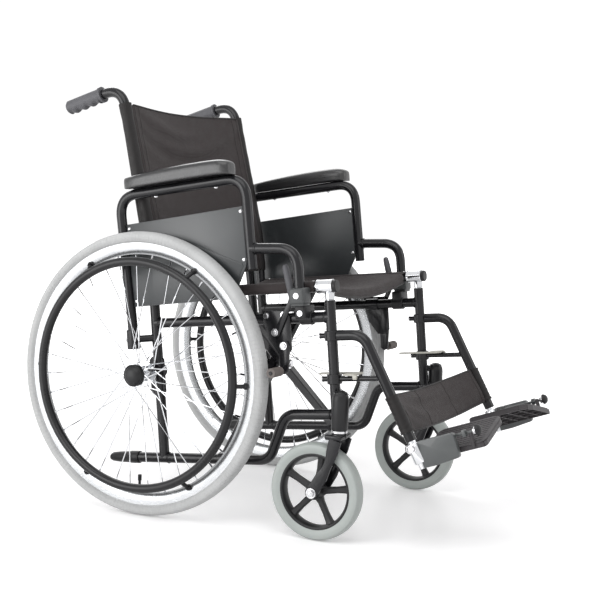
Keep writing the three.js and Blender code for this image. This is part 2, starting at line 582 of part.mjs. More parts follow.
// ---- leg rest --------------------------------------------------------------------------------
function legRest(group, side, tag) {
  const x = side * FRAME_WIDTH / 2;
  const knee = point(x, HANGER_KNEE_A, HANGER_B);
  const end = point(x, HANGER_END_A, HANGER_END_B);
  const down = end.clone().sub(knee).normalize();
  const latchAt = knee.clone().addScaledVector(down, (HANGER_B - LATCH_B) / -down.z);
  const collarR = boreFor(TUBE_R) + COLLAR_WALL;
  const hanger = [pipe([point(x, FRONT_A + TUBE_R + 2, HANGER_B), knee, end], TUBE_R, 34),
    rod(point(x, FRONT_A + TUBE_R + 2, LATCH_B), latchAt, LATCH_BAR_R, 8)];
  for (const b of [HANGER_B, LATCH_B]) {
    hanger.push(rod(point(x, FRONT_A, b - COLLAR_HEIGHT / 2), point(x, FRONT_A, b + COLLAR_HEIGHT / 2),
      collarR, 12));
  }
  const holes = [
    rod(point(x, FRONT_A, LATCH_B - 60), point(x, FRONT_A, HANGER_B + 60), boreFor(TUBE_R), 12),
    rod(end.clone().addScaledVector(down, -FOOT_TUBE_IN - 12), end.clone().addScaledVector(down, 10),
      boreFor(FOOT_TUBE_R), 12)];
  piece(group, `leg_rest_tube_${tag}`, build(hanger, holes), LOOK.frame);

  const leverB = LATCH_B + LATCH_BAR_R + GAP + 2;
  const lever = block(x - side * 10, -(FRONT_A + 38), leverB, 48, 32, 4);
  const paddle = block(x - side * 27, -(FRONT_A - 4), leverB, 14, 84, 4);
  const stub = block(x + side * 9.8, -(FRONT_A + 50), LATCH_B + 2, 8, 8, 10);
  const latch = build([lever, paddle, stub],
    [rod(point(x, 400, LATCH_B), latchAt, boreFor(LATCH_BAR_R, 8), 8)]);
  piece(group, `latch_lever_${tag}`, latch, LOOK.grey);

  // foot: tube, clamp and the arm that carries the footplate's hinge
  const footEnd = end.clone().addScaledVector(down, FOOT_TUBE_OUT);
  const along = new THREE.Vector3(0, -Math.cos(FOOT_PITCH), Math.sin(FOOT_PITCH));
  const rise = new THREE.Vector3(0, Math.sin(FOOT_PITCH), Math.cos(FOOT_PITCH));
  const clampAt = end.clone().addScaledVector(down, 26);
  const armStart = clampAt.clone().addScaledVector(along, 8);
  const armMid = armStart.clone().addScaledVector(along, FOOT_ARM_LENGTH / 2)
    .addScaledVector(rise, -4);
  const footArm = block(0, 0, 0, FOOT_ARM_THICK, FOOT_ARM_LENGTH, FOOT_ARM_HEIGHT);
  footArm.rotateX(-FOOT_PITCH).translate(armMid.x, armMid.y, armMid.z);
  const footTube = rod(end.clone().addScaledVector(down, -FOOT_TUBE_IN), footEnd, FOOT_TUBE_R, 12);
  const clampBlock = rod(end.clone().addScaledVector(down, 6), end.clone().addScaledVector(down, 46),
    FOOT_TUBE_R + 5, 12);
  const hinge = armStart.clone().addScaledVector(along, FOOT_ARM_LENGTH - 14)
    .addScaledVector(rise, FOOT_ARM_HEIGHT / 2 - 12);
  const inward = new THREE.Vector3(-side, 0, 0);
  const pin = rod(hinge.clone().addScaledVector(along, -88).addScaledVector(inward, 13),
    hinge.clone().addScaledVector(along, 24).addScaledVector(inward, 13), HINGE_PIN_R, 8);
  const lugs = [-70, 4].map((step) => {
    const lug = block(0, 0, 0, 12, 8, 14).rotateX(-FOOT_PITCH);
    const at = hinge.clone().addScaledVector(along, step).addScaledVector(inward, 9);
    return lug.translate(at.x, at.y, at.z);
  });
  piece(group, `foot_tube_${tag}`, build([footTube, clampBlock]), LOOK.alloy);
  const armCut = rod(end.clone().addScaledVector(down, -20), footEnd.clone().addScaledVector(down, 40),
    boreFor(FOOT_TUBE_R + 5), 12);
  const knob = new THREE.SphereGeometry(9, 12, 8);
  knob.translate(hinge.x - side * 13, hinge.y, hinge.z);
  knob.translate(along.x * 30, along.y * 30, along.z * 30);
  piece(group, `foot_arm_${tag}`, build([footArm, pin, knob, ...lugs], [armCut]), LOOK.grey);

  // footplate: flat tray with two ears on the hinge pin
  const hingeAt = hinge.clone().addScaledVector(inward, 13);
  const tray = new THREE.Group();
  tray.position.copy(hingeAt);
  tray.rotation.x = -FOOT_PITCH;
  group.add(tray);
  const drop = 30;
  const flat = block(side * -(PLATE_WIDTH / 2 + 3), PLATE_LENGTH / 2 - PLATE_AHEAD, -drop, PLATE_WIDTH,
    PLATE_LENGTH, PLATE_THICK);
  const turned = flat.translate(0, 0, drop).rotateY(side * PLATE_TILT).translate(0, 0, -drop);
  const ears = [];
  for (const y of [-14, 80]) {
    ears.push(block(-side * 4, y, -drop / 2 - 1, 12, 6, drop + 2));
    ears.push(rod(new THREE.Vector3(0, y - 3, 0), new THREE.Vector3(0, y + 3, 0), HINGE_EAR_R, 12));
  }
  const pinBore = rod(new THREE.Vector3(0, -60, 0), new THREE.Vector3(0, 120, 0),
    boreFor(HINGE_PIN_R, 8), 8);
  piece(tray, `footplate_${tag}`, build([turned, ...ears], [pinBore]), LOOK.plastic);
}

// ---- soft pieces -----------------------------------------------------------------------------
function softGoods(group) {
  const half = FRAME_WIDTH / 2;
  const seatB = SEAT_RAIL_B + TUBE_R + GAP + SEAT_THICK / 2;
  const seat = block(0, -(SEAT_FRONT + SEAT_RAIL_BACK) / 2, seatB, FRAME_WIDTH + 2 * TUBE_R,
    SEAT_FRONT - SEAT_RAIL_BACK, SEAT_THICK);
  piece(group, 'seat_sling', seat, LOOK.fabric);

  // Sleeves round the tubes on both sides, along an (a, b) path, with a web between them.
  const sling = (name, path, ahead) => {
    const solids = [];
    const bores = [];
    for (const x of [-half, half]) {
      const line = path.map(([a, b]) => point(x, a, b));
      solids.push(pipe(line, TUBE_R + GAP + FABRIC_WALL, CANE_BEND, 12));
      const longer = line.map((place) => place.clone());
      const last = line.length - 1;
      longer[0].addScaledVector(line[0].clone().sub(line[1]).normalize(), 9);
      longer[last].addScaledVector(line[last].clone().sub(line[last - 1]).normalize(), 9);
      bores.push(pipe(longer, boreFor(TUBE_R), CANE_BEND, 12));
    }
    const front = path.map(([a, b]) => [a + ahead, b]);
    const back = path.map(([a, b]) => [a + ahead - SEAT_THICK, b]).reverse();
    const web = sidePlate([...front, ...back], 0, FRAME_WIDTH - 4);
    piece(group, name, build([...solids, web], bores), LOOK.fabric);
  };
  sling('back_sling', [[0, BACK_LOW_B], [0, CANE_KINK_B], [caneA(BACK_HIGH_B), BACK_HIGH_B]], 6);
  const strapPoint = (share) => [
    HANGER_KNEE_A + (HANGER_END_A - HANGER_KNEE_A) * share,
    HANGER_B + (HANGER_END_B - HANGER_B) * share];
  sling('calf_strap', [strapPoint(STRAP_LOW), strapPoint(STRAP_HIGH)], 0);
}

// ---- the whole chair ---------------------------------------------------------------------------
const chair = new THREE.Group();
const chassis = new THREE.Group();
chassis.position.set(0, ORIGIN_Y, ORIGIN_Z);
chassis.rotation.x = -PITCH;
chair.add(chassis);

for (const [side, tag] of [[-1, 'right'], [1, 'left']]) {
  const wheel = new THREE.Group();
  wheel.position.set(side * (FRAME_WIDTH / 2 + WHEEL_OFFSET), 0, WHEEL_R);
  chair.add(wheel);
  rearWheel(wheel, side, tag);

  const swivel = new THREE.Group();
  swivel.position.set(side * (FRAME_WIDTH / 2 + CASTER_OFFSET), CASTER_Y, HOUSING_LOW);
  chair.add(swivel);
  caster(swivel, side, tag);

  sideFrame(chassis, side, tag);
  crossBrace(chassis, side, tag);
  seatGuide(chassis, side, tag);
  armSockets(chassis, side, tag);
  armrest(chassis, side, tag);
  brake(chassis, side, tag);
  legRest(chassis, side, tag);
}
const bolt = build([
  rod(point(0, BRACE_A - 34, SEAT_RAIL_B / 2), point(0, BRACE_A + 34, SEAT_RAIL_B / 2), BOLT_R, 8),
  rod(point(0, BRACE_A - 34, SEAT_RAIL_B / 2), point(0, BRACE_A - 28, SEAT_RAIL_B / 2), 9, 6),
  rod(point(0, BRACE_A + 28, SEAT_RAIL_B / 2), point(0, BRACE_A + 34, SEAT_RAIL_B / 2), 9, 6)]);
piece(chassis, 'pivot_bolt', bolt, LOOK.chrome);
softGoods(chassis);

// The origin is on the floor below the middle of the chair.
const middle = new THREE.Box3().setFromObject(chair).getCenter(new THREE.Vector3());
chair.position.y = -middle.y;

export default chair;
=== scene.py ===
"""A folding manual wheelchair: the visible pieces, made over its mechanical frame."""
import math

import bpy
from mathutils import Matrix, Vector


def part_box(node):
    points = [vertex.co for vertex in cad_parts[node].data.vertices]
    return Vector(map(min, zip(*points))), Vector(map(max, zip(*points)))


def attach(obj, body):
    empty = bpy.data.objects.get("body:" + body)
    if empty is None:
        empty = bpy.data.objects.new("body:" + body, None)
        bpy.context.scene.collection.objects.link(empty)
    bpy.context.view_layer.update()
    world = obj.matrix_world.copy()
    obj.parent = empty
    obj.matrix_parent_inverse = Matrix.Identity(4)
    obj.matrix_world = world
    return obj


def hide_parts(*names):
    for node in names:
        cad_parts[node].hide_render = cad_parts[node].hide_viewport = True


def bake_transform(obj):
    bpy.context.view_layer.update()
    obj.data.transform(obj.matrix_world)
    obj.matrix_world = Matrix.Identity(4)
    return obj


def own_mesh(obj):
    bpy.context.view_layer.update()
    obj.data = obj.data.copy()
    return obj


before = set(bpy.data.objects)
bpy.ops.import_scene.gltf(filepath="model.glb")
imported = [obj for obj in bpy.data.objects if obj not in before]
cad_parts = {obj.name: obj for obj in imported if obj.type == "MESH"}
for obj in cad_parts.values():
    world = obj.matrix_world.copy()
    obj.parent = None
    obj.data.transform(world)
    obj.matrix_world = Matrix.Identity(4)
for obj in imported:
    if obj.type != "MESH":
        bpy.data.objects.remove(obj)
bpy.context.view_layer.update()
scene = bpy.context.scene
scene.view_settings.view_transform = "Standard"

# ---- where things are: chair millimetres in, world metres out ------------------------------
PITCH = math.radians(6)
wheel_low, wheel_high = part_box("rear_tyre_right")
AXLE_Y = 500 * (wheel_low.y + wheel_high.y)
HALF = 240            # side frame, from the middle of the chair
TUBE = 11             # frame tube radius
SEAT_B = 357          # seat rails
SIDE_B = 295          # side rails
FRONT_A = 424         # front uprights
CASTER_X = 264        # casters, from the middle of the chair
KINK_B = 480          # the push canes lean back from here up
LEAN = math.radians(8.3)
X = Vector((1, 0, 0))
FORWARD = Vector((0, -math.cos(PITCH), math.sin(PITCH)))
UPWARD = Vector((0, math.sin(PITCH), math.cos(PITCH)))


def flat(x, y, z):
    """A place measured from the rear axle's point on the floor."""
    return Vector((x, y + AXLE_Y, z)) / 1000


def at(x, a, b):
    """A place on the pitched frame: a forward of the rear upright, b above the lower rail."""
    return flat(x, -25, 116) + (FORWARD * a + UPWARD * b) / 1000


def cane_a(b):
    return -max(0, b - KINK_B) * math.tan(LEAN)


# ---- modelling -------------------------------------------------------------------------------
def alone(piece):
    bpy.ops.object.select_all(action="DESELECT")
    piece.select_set(True)
    bpy.context.view_layer.objects.active = piece


def edit(piece, select="SELECT"):
    alone(piece)
    bpy.ops.object.mode_set(mode="EDIT")
    bpy.ops.mesh.select_all(action=select)


def leave():
    bpy.ops.object.mode_set(mode="OBJECT")


def tidy(piece):
    """Merges doubles and points every face outwards."""
    edit(piece)
    bpy.ops.mesh.remove_doubles(threshold=2e-6)
    bpy.ops.mesh.normals_make_consistent(inside=False)
    leave()
    return piece


def bend(corners, reach, steps=8):
    """Straight runs through the corners, each corner rounded off over its reach."""
    path = [corners[0]]
    for before, corner, after in zip(corners, corners[1:], corners[2:]):
        back, ahead = before - corner, after - corner
        size = min(reach / 1000, back.length * 0.49, ahead.length * 0.49)
        start = corner + back.normalized() * size
        end = corner + ahead.normalized() * size
        for i in range(steps + 1):
            t = i / steps
            path.append(start * (1 - t) ** 2 + corner * 2 * t * (1 - t) + end * t ** 2)
    path.append(corners[-1])
    return path


def loft(name, rows, closed=True, capped=True):
    """A skin over rows of points. Closed rows meet themselves; capped ends are filled."""
    bpy.ops.object.select_all(action="DESELECT")
    across = len(rows[0]) if closed else len(rows[0]) - 1
    bpy.ops.mesh.primitive_grid_add(x_subdivisions=across, y_subdivisions=len(rows) - 1, size=1)
    skin = bpy.context.object
    skin.name = name
    points = []
    for row in rows:
        points.extend(list(row) + [row[0]] if closed else row)
    skin.data.vertices.foreach_set("co", [c for p in points for c in p])
    edit(skin)
    bpy.ops.mesh.remove_doubles(threshold=2e-6)
    if capped:
        bpy.ops.mesh.fill_holes(sides=0)
        bpy.ops.mesh.normals_make_consistent(inside=False)
    leave()
    return skin


def across_of(path):
    """A direction square to the plane that the path lies in."""
    run = (path[-1] - path[0]).normalized()
    for p in path[1:-1]:
        side = run.cross(p - path[0])
        if side.length > 1e-4:
            return side.normalized()
    return run.orthogonal().normalized()


def section(centre, along, side, radius, sides, squeeze=1.0):
    up = along.cross(side).normalized()
    turn = [2 * math.pi * i / sides for i in range(sides)]
    return [centre + (side * math.cos(t) + up * math.sin(t) * squeeze) * radius for t in turn]


def tube(name, path, radius, sides=24, soft=0.8, squeeze=1.0):
    """A round bar along a path, with softened ends. Radius and softening are millimetres."""
    side = across_of(path)
    r, soft = radius / 1000, soft / 1000
    rows = []
    for i, p in enumerate(path):
        along = (path[min(i + 1, len(path) - 1)] - path[max(i - 1, 0)]).normalized()
        if i == 0:
            rows.append(section(p, along, side, r - soft, sides, squeeze))
            rows.append(section(p + along * soft, along, side, r, sides, squeeze))
        elif i == len(path) - 1:
            rows.append(section(p - along * soft, along, side, r, sides, squeeze))
            rows.append(section(p, along, side, r - soft, sides, squeeze))
        else:
            rows.append(section(p, along, side, r, sides, squeeze))
    return loft(name, rows)


def rod(start, end, radius, sides=24, soft=0.8):
    return tube("rod", [start, end], radius, sides, soft)


def turned(name, profile, centre, axis, steps=48):
    """Spins (radius, distance along the axis) pairs about the axis."""
    axis = Vector(axis).normalized()
    out = axis.orthogonal().normalized()
    bpy.ops.object.select_all(action="DESELECT")
    bpy.ops.mesh.primitive_circle_add(vertices=len(profile), radius=1)
    piece = bpy.context.object
    piece.name = name
    for vertex, (radius, reach) in zip(piece.data.vertices, profile):
        vertex.co = centre + (out * radius + axis * reach) / 1000
    if profile[0][0] == 0 and profile[-1][0] == 0:
        edit(piece, "DESELECT")
        bpy.ops.mesh.select_mode(type="EDGE")
        leave()
        ends = {0, len(profile) - 1}
        for edge in piece.data.edges:
            edge.select = set(edge.vertices) == ends
        bpy.ops.object.mode_set(mode="EDIT")
        bpy.ops.mesh.delete(type="EDGE")
        leave()
    edit(piece)
    bpy.ops.mesh.spin(steps=steps, angle=2 * math.pi, center=centre, axis=axis)
    leave()
    return tidy(piece)


def block(name, centre, size, bevel=1.0, turn=0.0, segments=2):
    """A box of the given size in millimetres, turned about X, with rounded edges."""
    bpy.ops.object.select_all(action="DESELECT")
    bpy.ops.mesh.primitive_cube_add(size=1, location=centre, rotation=(turn, 0, 0),
                                    scale=[s / 1000 for s in size])
    box = bpy.context.object
    box.name = name
    bpy.ops.object.transform_apply(location=True, rotation=True, scale=True)
    edit(box)
    bpy.ops.mesh.bevel(offset=bevel / 1000, segments=segments, affect="EDGES")
    leave()
    return box


def plate(name, outline, depth, bevel=0.6):
    """A flat plate: its outline is drawn, filled and pulled out by depth, then eased."""
    bpy.ops.object.select_all(action="DESELECT")
    bpy.ops.mesh.primitive_circle_add(vertices=len(outline), radius=1, fill_type="NGON")
    sheet = bpy.context.object
    sheet.name = name
    for vertex, place in zip(sheet.data.vertices, outline):
        vertex.co = place
    edit(sheet)
    bpy.ops.mesh.extrude_region()
    bpy.ops.transform.translate(value=depth)
    bpy.ops.mesh.select_all(action="SELECT")
    bpy.ops.mesh.normals_make_consistent(inside=False)
    leave()
    if bevel:
        for edge in sheet.data.edges:
            one, two = (sheet.data.vertices[v].co for v in edge.vertices)
            edge.select = abs((one - two).normalized().dot(depth.normalized())) < 0.5
        alone(sheet)
        bpy.ops.object.mode_set(mode="EDIT")
        bpy.ops.mesh.select_mode(type="EDGE")
        bpy.ops.mesh.bevel(offset=bevel / 1000, segments=2, affect="EDGES")
        leave()
    return sheet


def side_plate(name, outline, x, thickness, bevel=0.6):
    corners = [at(x - thickness / 2, a, b) for a, b in outline]
    return plate(name, corners, X * thickness / 1000, bevel)


def joined(name, parts):
    bpy.ops.object.select_all(action="DESELECT")
    for part in parts:
        part.select_set(True)
    bpy.context.view_layer.objects.active = parts[0]
    if len(parts) > 1:
        bpy.ops.object.join()
    parts[0].name = name
    return parts[0]


def copy_turned(piece, centre, axis, angle):
    twin = piece.copy()
    twin.data = piece.data.copy()
    bpy.context.collection.objects.link(twin)
    turn = Matrix.Translation(centre) @ Matrix.Rotation(angle, 4, axis) @ Matrix.Translation(-centre)
    twin.data.transform(turn)
    return twin


def fit(piece, name, body, look, slot, *nodes, smooth=32):
    """Names a finished piece, finishes it and hangs it on the body that carries it, if one does."""
    piece.name = name
    piece.data.name = name
    alone(piece)
    bpy.ops.object.shade_smooth_by_angle(angle=math.radians(smooth))
    piece.data.materials.clear()
    piece.data.materials.append(LOOKS[look])
    if body:
        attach(piece, body)
    if nodes:
        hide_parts(*nodes)
    return piece


# ---- finishes --------------------------------------------------------------------------------
def new_group(name, inputs, outputs):
    group = bpy.data.node_groups.new(name, "ShaderNodeTree")
    for label, value in inputs:
        kind = "NodeSocketVector" if value is None else "NodeSocketFloat"
        socket = group.interface.new_socket(label, in_out="INPUT", socket_type=kind)
        if value is not None:
            socket.default_value = value
    for label in outputs:
        group.interface.new_socket(label, in_out="OUTPUT", socket_type="NodeSocketFloat")
    return group, group.nodes.new("NodeGroupInput"), group.nodes.new("NodeGroupOutput")


def math_node(tree, operation, *values):
    node = tree.nodes.new("ShaderNodeMath")
    node.operation = operation
    for socket, value in zip(node.inputs, values):
        if isinstance(value, (int, float)):
            socket.default_value = value
        else:
            tree.links.new(value, socket)
    return node.outputs[0]


def noise_node(tree, vector, scale, detail=3.0, rough=0.5):
    node = tree.nodes.new("ShaderNodeTexNoise")
    node.inputs["Detail"].default_value = detail
    node.inputs["Roughness"].default_value = rough
    tree.links.new(vector, node.inputs["Vector"])
    if isinstance(scale, (int, float)):
        node.inputs["Scale"].default_value = scale
    else:
        tree.links.new(scale, node.inputs["Scale"])
    return node.outputs[0]


def make_mottle():
    """Fine skin texture over slow cloudy variation, as on paint, rubber and plastic."""
    tree, into, out = new_group("Mottle", [("Vector", None), ("Fine", 900.0), ("Cloud", 9.0)],
                                ["Height", "Mask"])
    fine = noise_node(tree, into.outputs["Vector"], into.outputs["Fine"], 2.0)
    cloud = noise_node(tree, into.outputs["Vector"], into.outputs["Cloud"], 4.0, 0.6)
    tree.links.new(fine, out.inputs["Height"])
    mixed = math_node(tree, "MULTIPLY_ADD", fine, 0.35, cloud)
    tree.links.new(math_node(tree, "SUBTRACT", mixed, 0.17), out.inputs["Mask"])
    return tree


def make_weave():
    """Plain weave: two sets of threads that pass over and under each other."""
    tree, into, out = new_group("Weave", [("Vector", None), ("Threads", 1.0)], ["Height", "Mask"])
    split = tree.nodes.new("ShaderNodeSeparateXYZ")
    tree.links.new(into.outputs["Vector"], split.inputs[0])
    waves = []
    for axis in (0, 1):
        run = math_node(tree, "MULTIPLY", split.outputs[axis], into.outputs["Threads"])
        waves.append(math_node(tree, "SINE", run, 0))
    height = math_node(tree, "MULTIPLY", waves[0], waves[1])
    tree.links.new(math_node(tree, "MULTIPLY_ADD", height, 0.5, 0.5), out.inputs["Height"])
    slub = noise_node(tree, into.outputs["Vector"], 45.0, 5.0, 0.7)
    tree.links.new(slub, out.inputs["Mask"])
    return tree


def make_brushed():
    """Long fine marks, as left by drawing, turning or polishing metal."""
    tree, into, out = new_group("Brushed", [("Vector", None), ("Fine", 500.0)], ["Height", "Mask"])
    stretch = tree.nodes.new("ShaderNodeVectorMath")
    stretch.operation = "MULTIPLY"
    stretch.inputs[1].default_value = (1.0, 0.08, 1.0)
    tree.links.new(into.outputs["Vector"], stretch.inputs[0])
    marks = noise_node(tree, stretch.outputs[0], into.outputs["Fine"], 3.0)
    cloud = noise_node(tree, into.outputs["Vector"], 14.0, 4.0, 0.65)
    tree.links.new(marks, out.inputs["Height"])
    tree.links.new(math_node(tree, "MULTIPLY", marks, cloud), out.inputs["Mask"])
    return tree


GROUPS = {"mottle": make_mottle(), "weave": make_weave(), "brushed": make_brushed()}


def finish(name, pattern, dark, light, rough, bump, settings, metal=0.0, **principled):
    """A finish: two tones and two roughnesses mixed by a pattern that also gives the relief."""
    look = bpy.data.materials.new(name)
    look.use_nodes = True
    tree = look.node_tree
    shader = tree.nodes["Principled BSDF"]
    place = tree.nodes.new("ShaderNodeTexCoord")
    relief = tree.nodes.new("ShaderNodeGroup")
    relief.node_tree = GROUPS[pattern]
    source = "UV" if settings.pop("uv", False) else "Object"
    tree.links.new(place.outputs[source], relief.inputs["Vector"])
    for label, value in settings.items():
        relief.inputs[label].default_value = value
    tone = tree.nodes.new("ShaderNodeMix")
    tone.data_type = "RGBA"
    tone.inputs[6].default_value = (*dark, 1)
    tone.inputs[7].default_value = (*light, 1)
    gloss = tree.nodes.new("ShaderNodeMapRange")
    gloss.inputs["From Min"].default_value = 0.3
    gloss.inputs["From Max"].default_value = 0.7
    gloss.inputs["To Min"].default_value, gloss.inputs["To Max"].default_value = rough
    tree.links.new(relief.outputs["Mask"], tone.inputs[0])
    tree.links.new(relief.outputs["Mask"], gloss.inputs["Value"])
    tree.links.new(tone.outputs[2], shader.inputs["Base Color"])
    tree.links.new(gloss.outputs[0], shader.inputs["Roughness"])
    shader.inputs["Metallic"].default_value = metal
    for label, value in principled.items():
        shader.inputs[label.replace("_", " ")].default_value = value
    height = tree.nodes.new("ShaderNodeBump")
    height.inputs["Strength"].default_value = bump[0]
    height.inputs["Distance"].default_value = bump[1]
    tree.links.new(relief.outputs["Height"], height.inputs["Height"])
    tree.links.new(height.outputs[0], shader.inputs["Normal"])
    return look


LOOKS = {
    "powder_coat": finish("Gloss black powder coat", "mottle", (0.006, 0.006, 0.007),
                          (0.014, 0.014, 0.016), (0.14, 0.24), (0.1, 0.0003), {"Fine": 260.0, "Cloud": 7.0},
                          Specular_IOR_Level=0.32),
    "handrim": finish("Hand rim enamel", "mottle", (0.006, 0.006, 0.007), (0.014, 0.014, 0.015),
                      (0.22, 0.36), (0.12, 0.0004), {"Fine": 420.0, "Cloud": 5.0}, Specular_IOR_Level=0.3),
    "chrome": finish("Chrome plate", "brushed", (0.62, 0.63, 0.65), (0.86, 0.87, 0.88),
                     (0.08, 0.22), (0.08, 0.0002), {"Fine": 400.0}, metal=1.0),
    "zinc": finish("Bright zinc bolts", "brushed", (0.5, 0.5, 0.51), (0.75, 0.75, 0.77),
                   (0.22, 0.42), (0.2, 0.0003), {"Fine": 700.0}, metal=1.0),
    "alloy": finish("Satin alloy rim", "brushed", (0.38, 0.39, 0.40), (0.60, 0.61, 0.62),
                    (0.25, 0.42), (0.15, 0.0003), {"Fine": 320.0}, metal=0.75),
    "tyre": finish("Pale grey tyre rubber", "mottle", (0.36, 0.365, 0.365), (0.56, 0.565, 0.565),
                   (0.6, 0.82), (0.35, 0.0008), {"Fine": 520.0, "Cloud": 12.0}),
    "caster_tyre": finish("Grey-green solid tyre", "mottle", (0.30, 0.33, 0.315),
                          (0.42, 0.445, 0.43), (0.42, 0.6), (0.2, 0.0006),
                          {"Fine": 380.0, "Cloud": 9.0}),
    "plastic": finish("Black moulded plastic", "mottle", (0.009, 0.009, 0.010),
                      (0.018, 0.018, 0.019), (0.32, 0.5), (0.35, 0.0006),
                      {"Fine": 800.0, "Cloud": 12.0}, Specular_IOR_Level=0.3),
    "panel": finish("Side panel plastic", "mottle", (0.018, 0.021, 0.023), (0.030, 0.034, 0.036),
                    (0.30, 0.42), (0.25, 0.0004), {"Fine": 950.0, "Cloud": 6.0},
                    Coat_Weight=0.25, Coat_Roughness=0.3),
    "pad": finish("Moulded pad skin", "mottle", (0.007, 0.007, 0.008), (0.016, 0.016, 0.017),
                  (0.24, 0.38), (0.45, 0.0006), {"Fine": 1300.0, "Cloud": 9.0},
                  Coat_Weight=0.3, Coat_Roughness=0.2),
    "grip": finish("Grey grip rubber", "mottle", (0.05, 0.05, 0.055), (0.11, 0.11, 0.12),
                   (0.5, 0.68), (0.4, 0.0008), {"Fine": 700.0, "Cloud": 20.0}),
    "nylon": finish("Dark woven nylon", "weave", (0.020, 0.0155, 0.0155), (0.038, 0.030, 0.030),
                    (0.62, 0.82), (0.45, 0.0007), {"Threads": 5200.0}, Sheen_Weight=0.08,
                    Sheen_Roughness=0.45, Specular_IOR_Level=0.3),
    "binding": finish("Black woven binding", "weave", (0.010, 0.009, 0.009),
                      (0.022, 0.019, 0.019), (0.55, 0.75), (0.5, 0.0008), {"Threads": 3600.0}),
    "sleeve": finish("Black sleeve cloth", "weave", (0.007, 0.006, 0.006), (0.016, 0.014, 0.014),
                     (0.38, 0.55), (0.35, 0.0006), {"Threads": 5200.0}, Specular_IOR_Level=0.25),
    "thread": finish("Seam thread", "mottle", (0.012, 0.010, 0.010), (0.03, 0.026, 0.026),
                     (0.6, 0.8), (0.3, 0.0003), {"Fine": 2500.0, "Cloud": 60.0}),
    "grey_plastic": finish("Grey moulded plastic", "mottle", (0.035, 0.038, 0.039),
                           (0.062, 0.066, 0.067), (0.4, 0.56), (0.35, 0.0006),
                           {"Fine": 800.0, "Cloud": 14.0}),
    "grey_metal": finish("Satin grey painted steel", "mottle", (0.055, 0.060, 0.061),
                         (0.085, 0.091, 0.092), (0.3, 0.46), (0.15, 0.0004),
                         {"Fine": 420.0, "Cloud": 10.0}, Coat_Weight=0.2),
    "footplate": finish("Footplate nylon", "mottle", (0.024, 0.021, 0.023), (0.046, 0.041, 0.044),
                        (0.42, 0.62), (0.5, 0.0008), {"Fine": 900.0, "Cloud": 16.0}),
    "latch": finish("Pale grey lever", "mottle", (0.42, 0.41, 0.36), (0.54, 0.53, 0.48),
                    (0.4, 0.55), (0.2, 0.0005), {"Fine": 600.0, "Cloud": 14.0}),
    "roller": finish("Brown-grey roller rubber", "mottle", (0.09, 0.075, 0.07),
                     (0.15, 0.13, 0.12), (0.5, 0.7), (0.4, 0.0008), {"Fine": 700.0, "Cloud": 30.0}),
}


# ---- small hardware --------------------------------------------------------------------------
def hex_bolt(centre, axis, radius, high):
    """A bolt head: a six-sided boss on a washer, with its corners turned down."""
    axis = Vector(axis).normalized()
    washer = turned("washer", [(0, 0), (radius * 1.35, 0), (radius * 1.35, 1), (0, 1)], centre, axis, 24)
    side = axis.orthogonal().normalized()
    rows = []
    for size, reach in ((1.0, 0.9), (1.0, high - 0.7), (0.86, high)):
        rows.append(section(centre + axis * reach / 1000, axis, side, radius * size / 1000, 6))
    return joined("bolt", [washer, loft("head", rows)])


def dome(centre, axis, radius, high):
    steps = [(radius * math.cos(t), high * math.sin(t)) for t in
             [math.pi / 2 * i / 6 for i in range(6)]]
    return turned("dome", [(0, 0)] + steps + [(0, high)], centre, axis, 28)


# ---- rear wheel ------------------------------------------------------------------------------
def rear_tyre(tag, hub, out):
    shape = [(275.5, -9.5), (281, -11.2), (286.5, -15.4), (292, -17), (297, -16.2), (300.6, -13.4),
             (302.9, -9.4), (304.0, -4.8), (304.3, 0), (304.0, 4.8), (302.9, 9.4), (300.6, 13.4),
             (297, 16.2), (292, 17), (286.5, 15.4), (281, 11.2), (275.5, 9.5), (277, 0)]
    tyre = turned("tyre", shape, hub, out, 220)
    tread = 0.2978
    for face in tyre.data.polygons:
        reach = Vector((0, face.center.y - hub.y, face.center.z - hub.z)).length
        face.select = reach > tread
    for edge in tyre.data.edges:
        edge.select = False
    alone(tyre)
    bpy.ops.object.mode_set(mode="EDIT")
    bpy.ops.mesh.select_mode(type="FACE")
    bpy.ops.mesh.inset(thickness=0.0009, depth=0.0007, use_individual=True)
    leave()
    fit(tyre, f"tyre_{tag}", f"rear_wheel_{tag}", "tyre", "grey_tyre", f"rear_tyre_{tag}", smooth=24)


def rear_rim(tag, hub, out):
    shape = [(281.6, -12.2), (282.4, -11.6), (281.6, -11.0), (276, -10.6), (272, -9.6), (268, -9.6),
             (261, -7.5), (258.6, -5), (258.3, 0), (258.6, 5), (261, 7.5), (268, 9.6), (272, 9.6),
             (276, 10.6), (281.6, 11.0), (282.4, 11.6), (281.6, 12.2), (276, 11.9), (270, 11.2),
             (262, 10.0), (256.5, 6.4), (256, 0), (256.5, -6.4), (262, -10.0), (270, -11.2),
             (276, -11.9)]
    rim = turned("rim", shape, hub, out, 144)
    stem = rod(hub + Vector((0, 0, -0.2565)), hub + Vector((0, 0, -0.222)), 3, 12)
    cap = rod(hub + Vector((0, 0, -0.232)), hub + Vector((0, 0, -0.219)), 4.2, 12)
    fit(rim, f"rim_{tag}", f"rear_wheel_{tag}", "alloy", "alloy_rim", f"rear_rim_{tag}")
    fit(joined("valve", [stem, cap]), f"valve_{tag}", f"rear_wheel_{tag}", "plastic", "black_plastic")


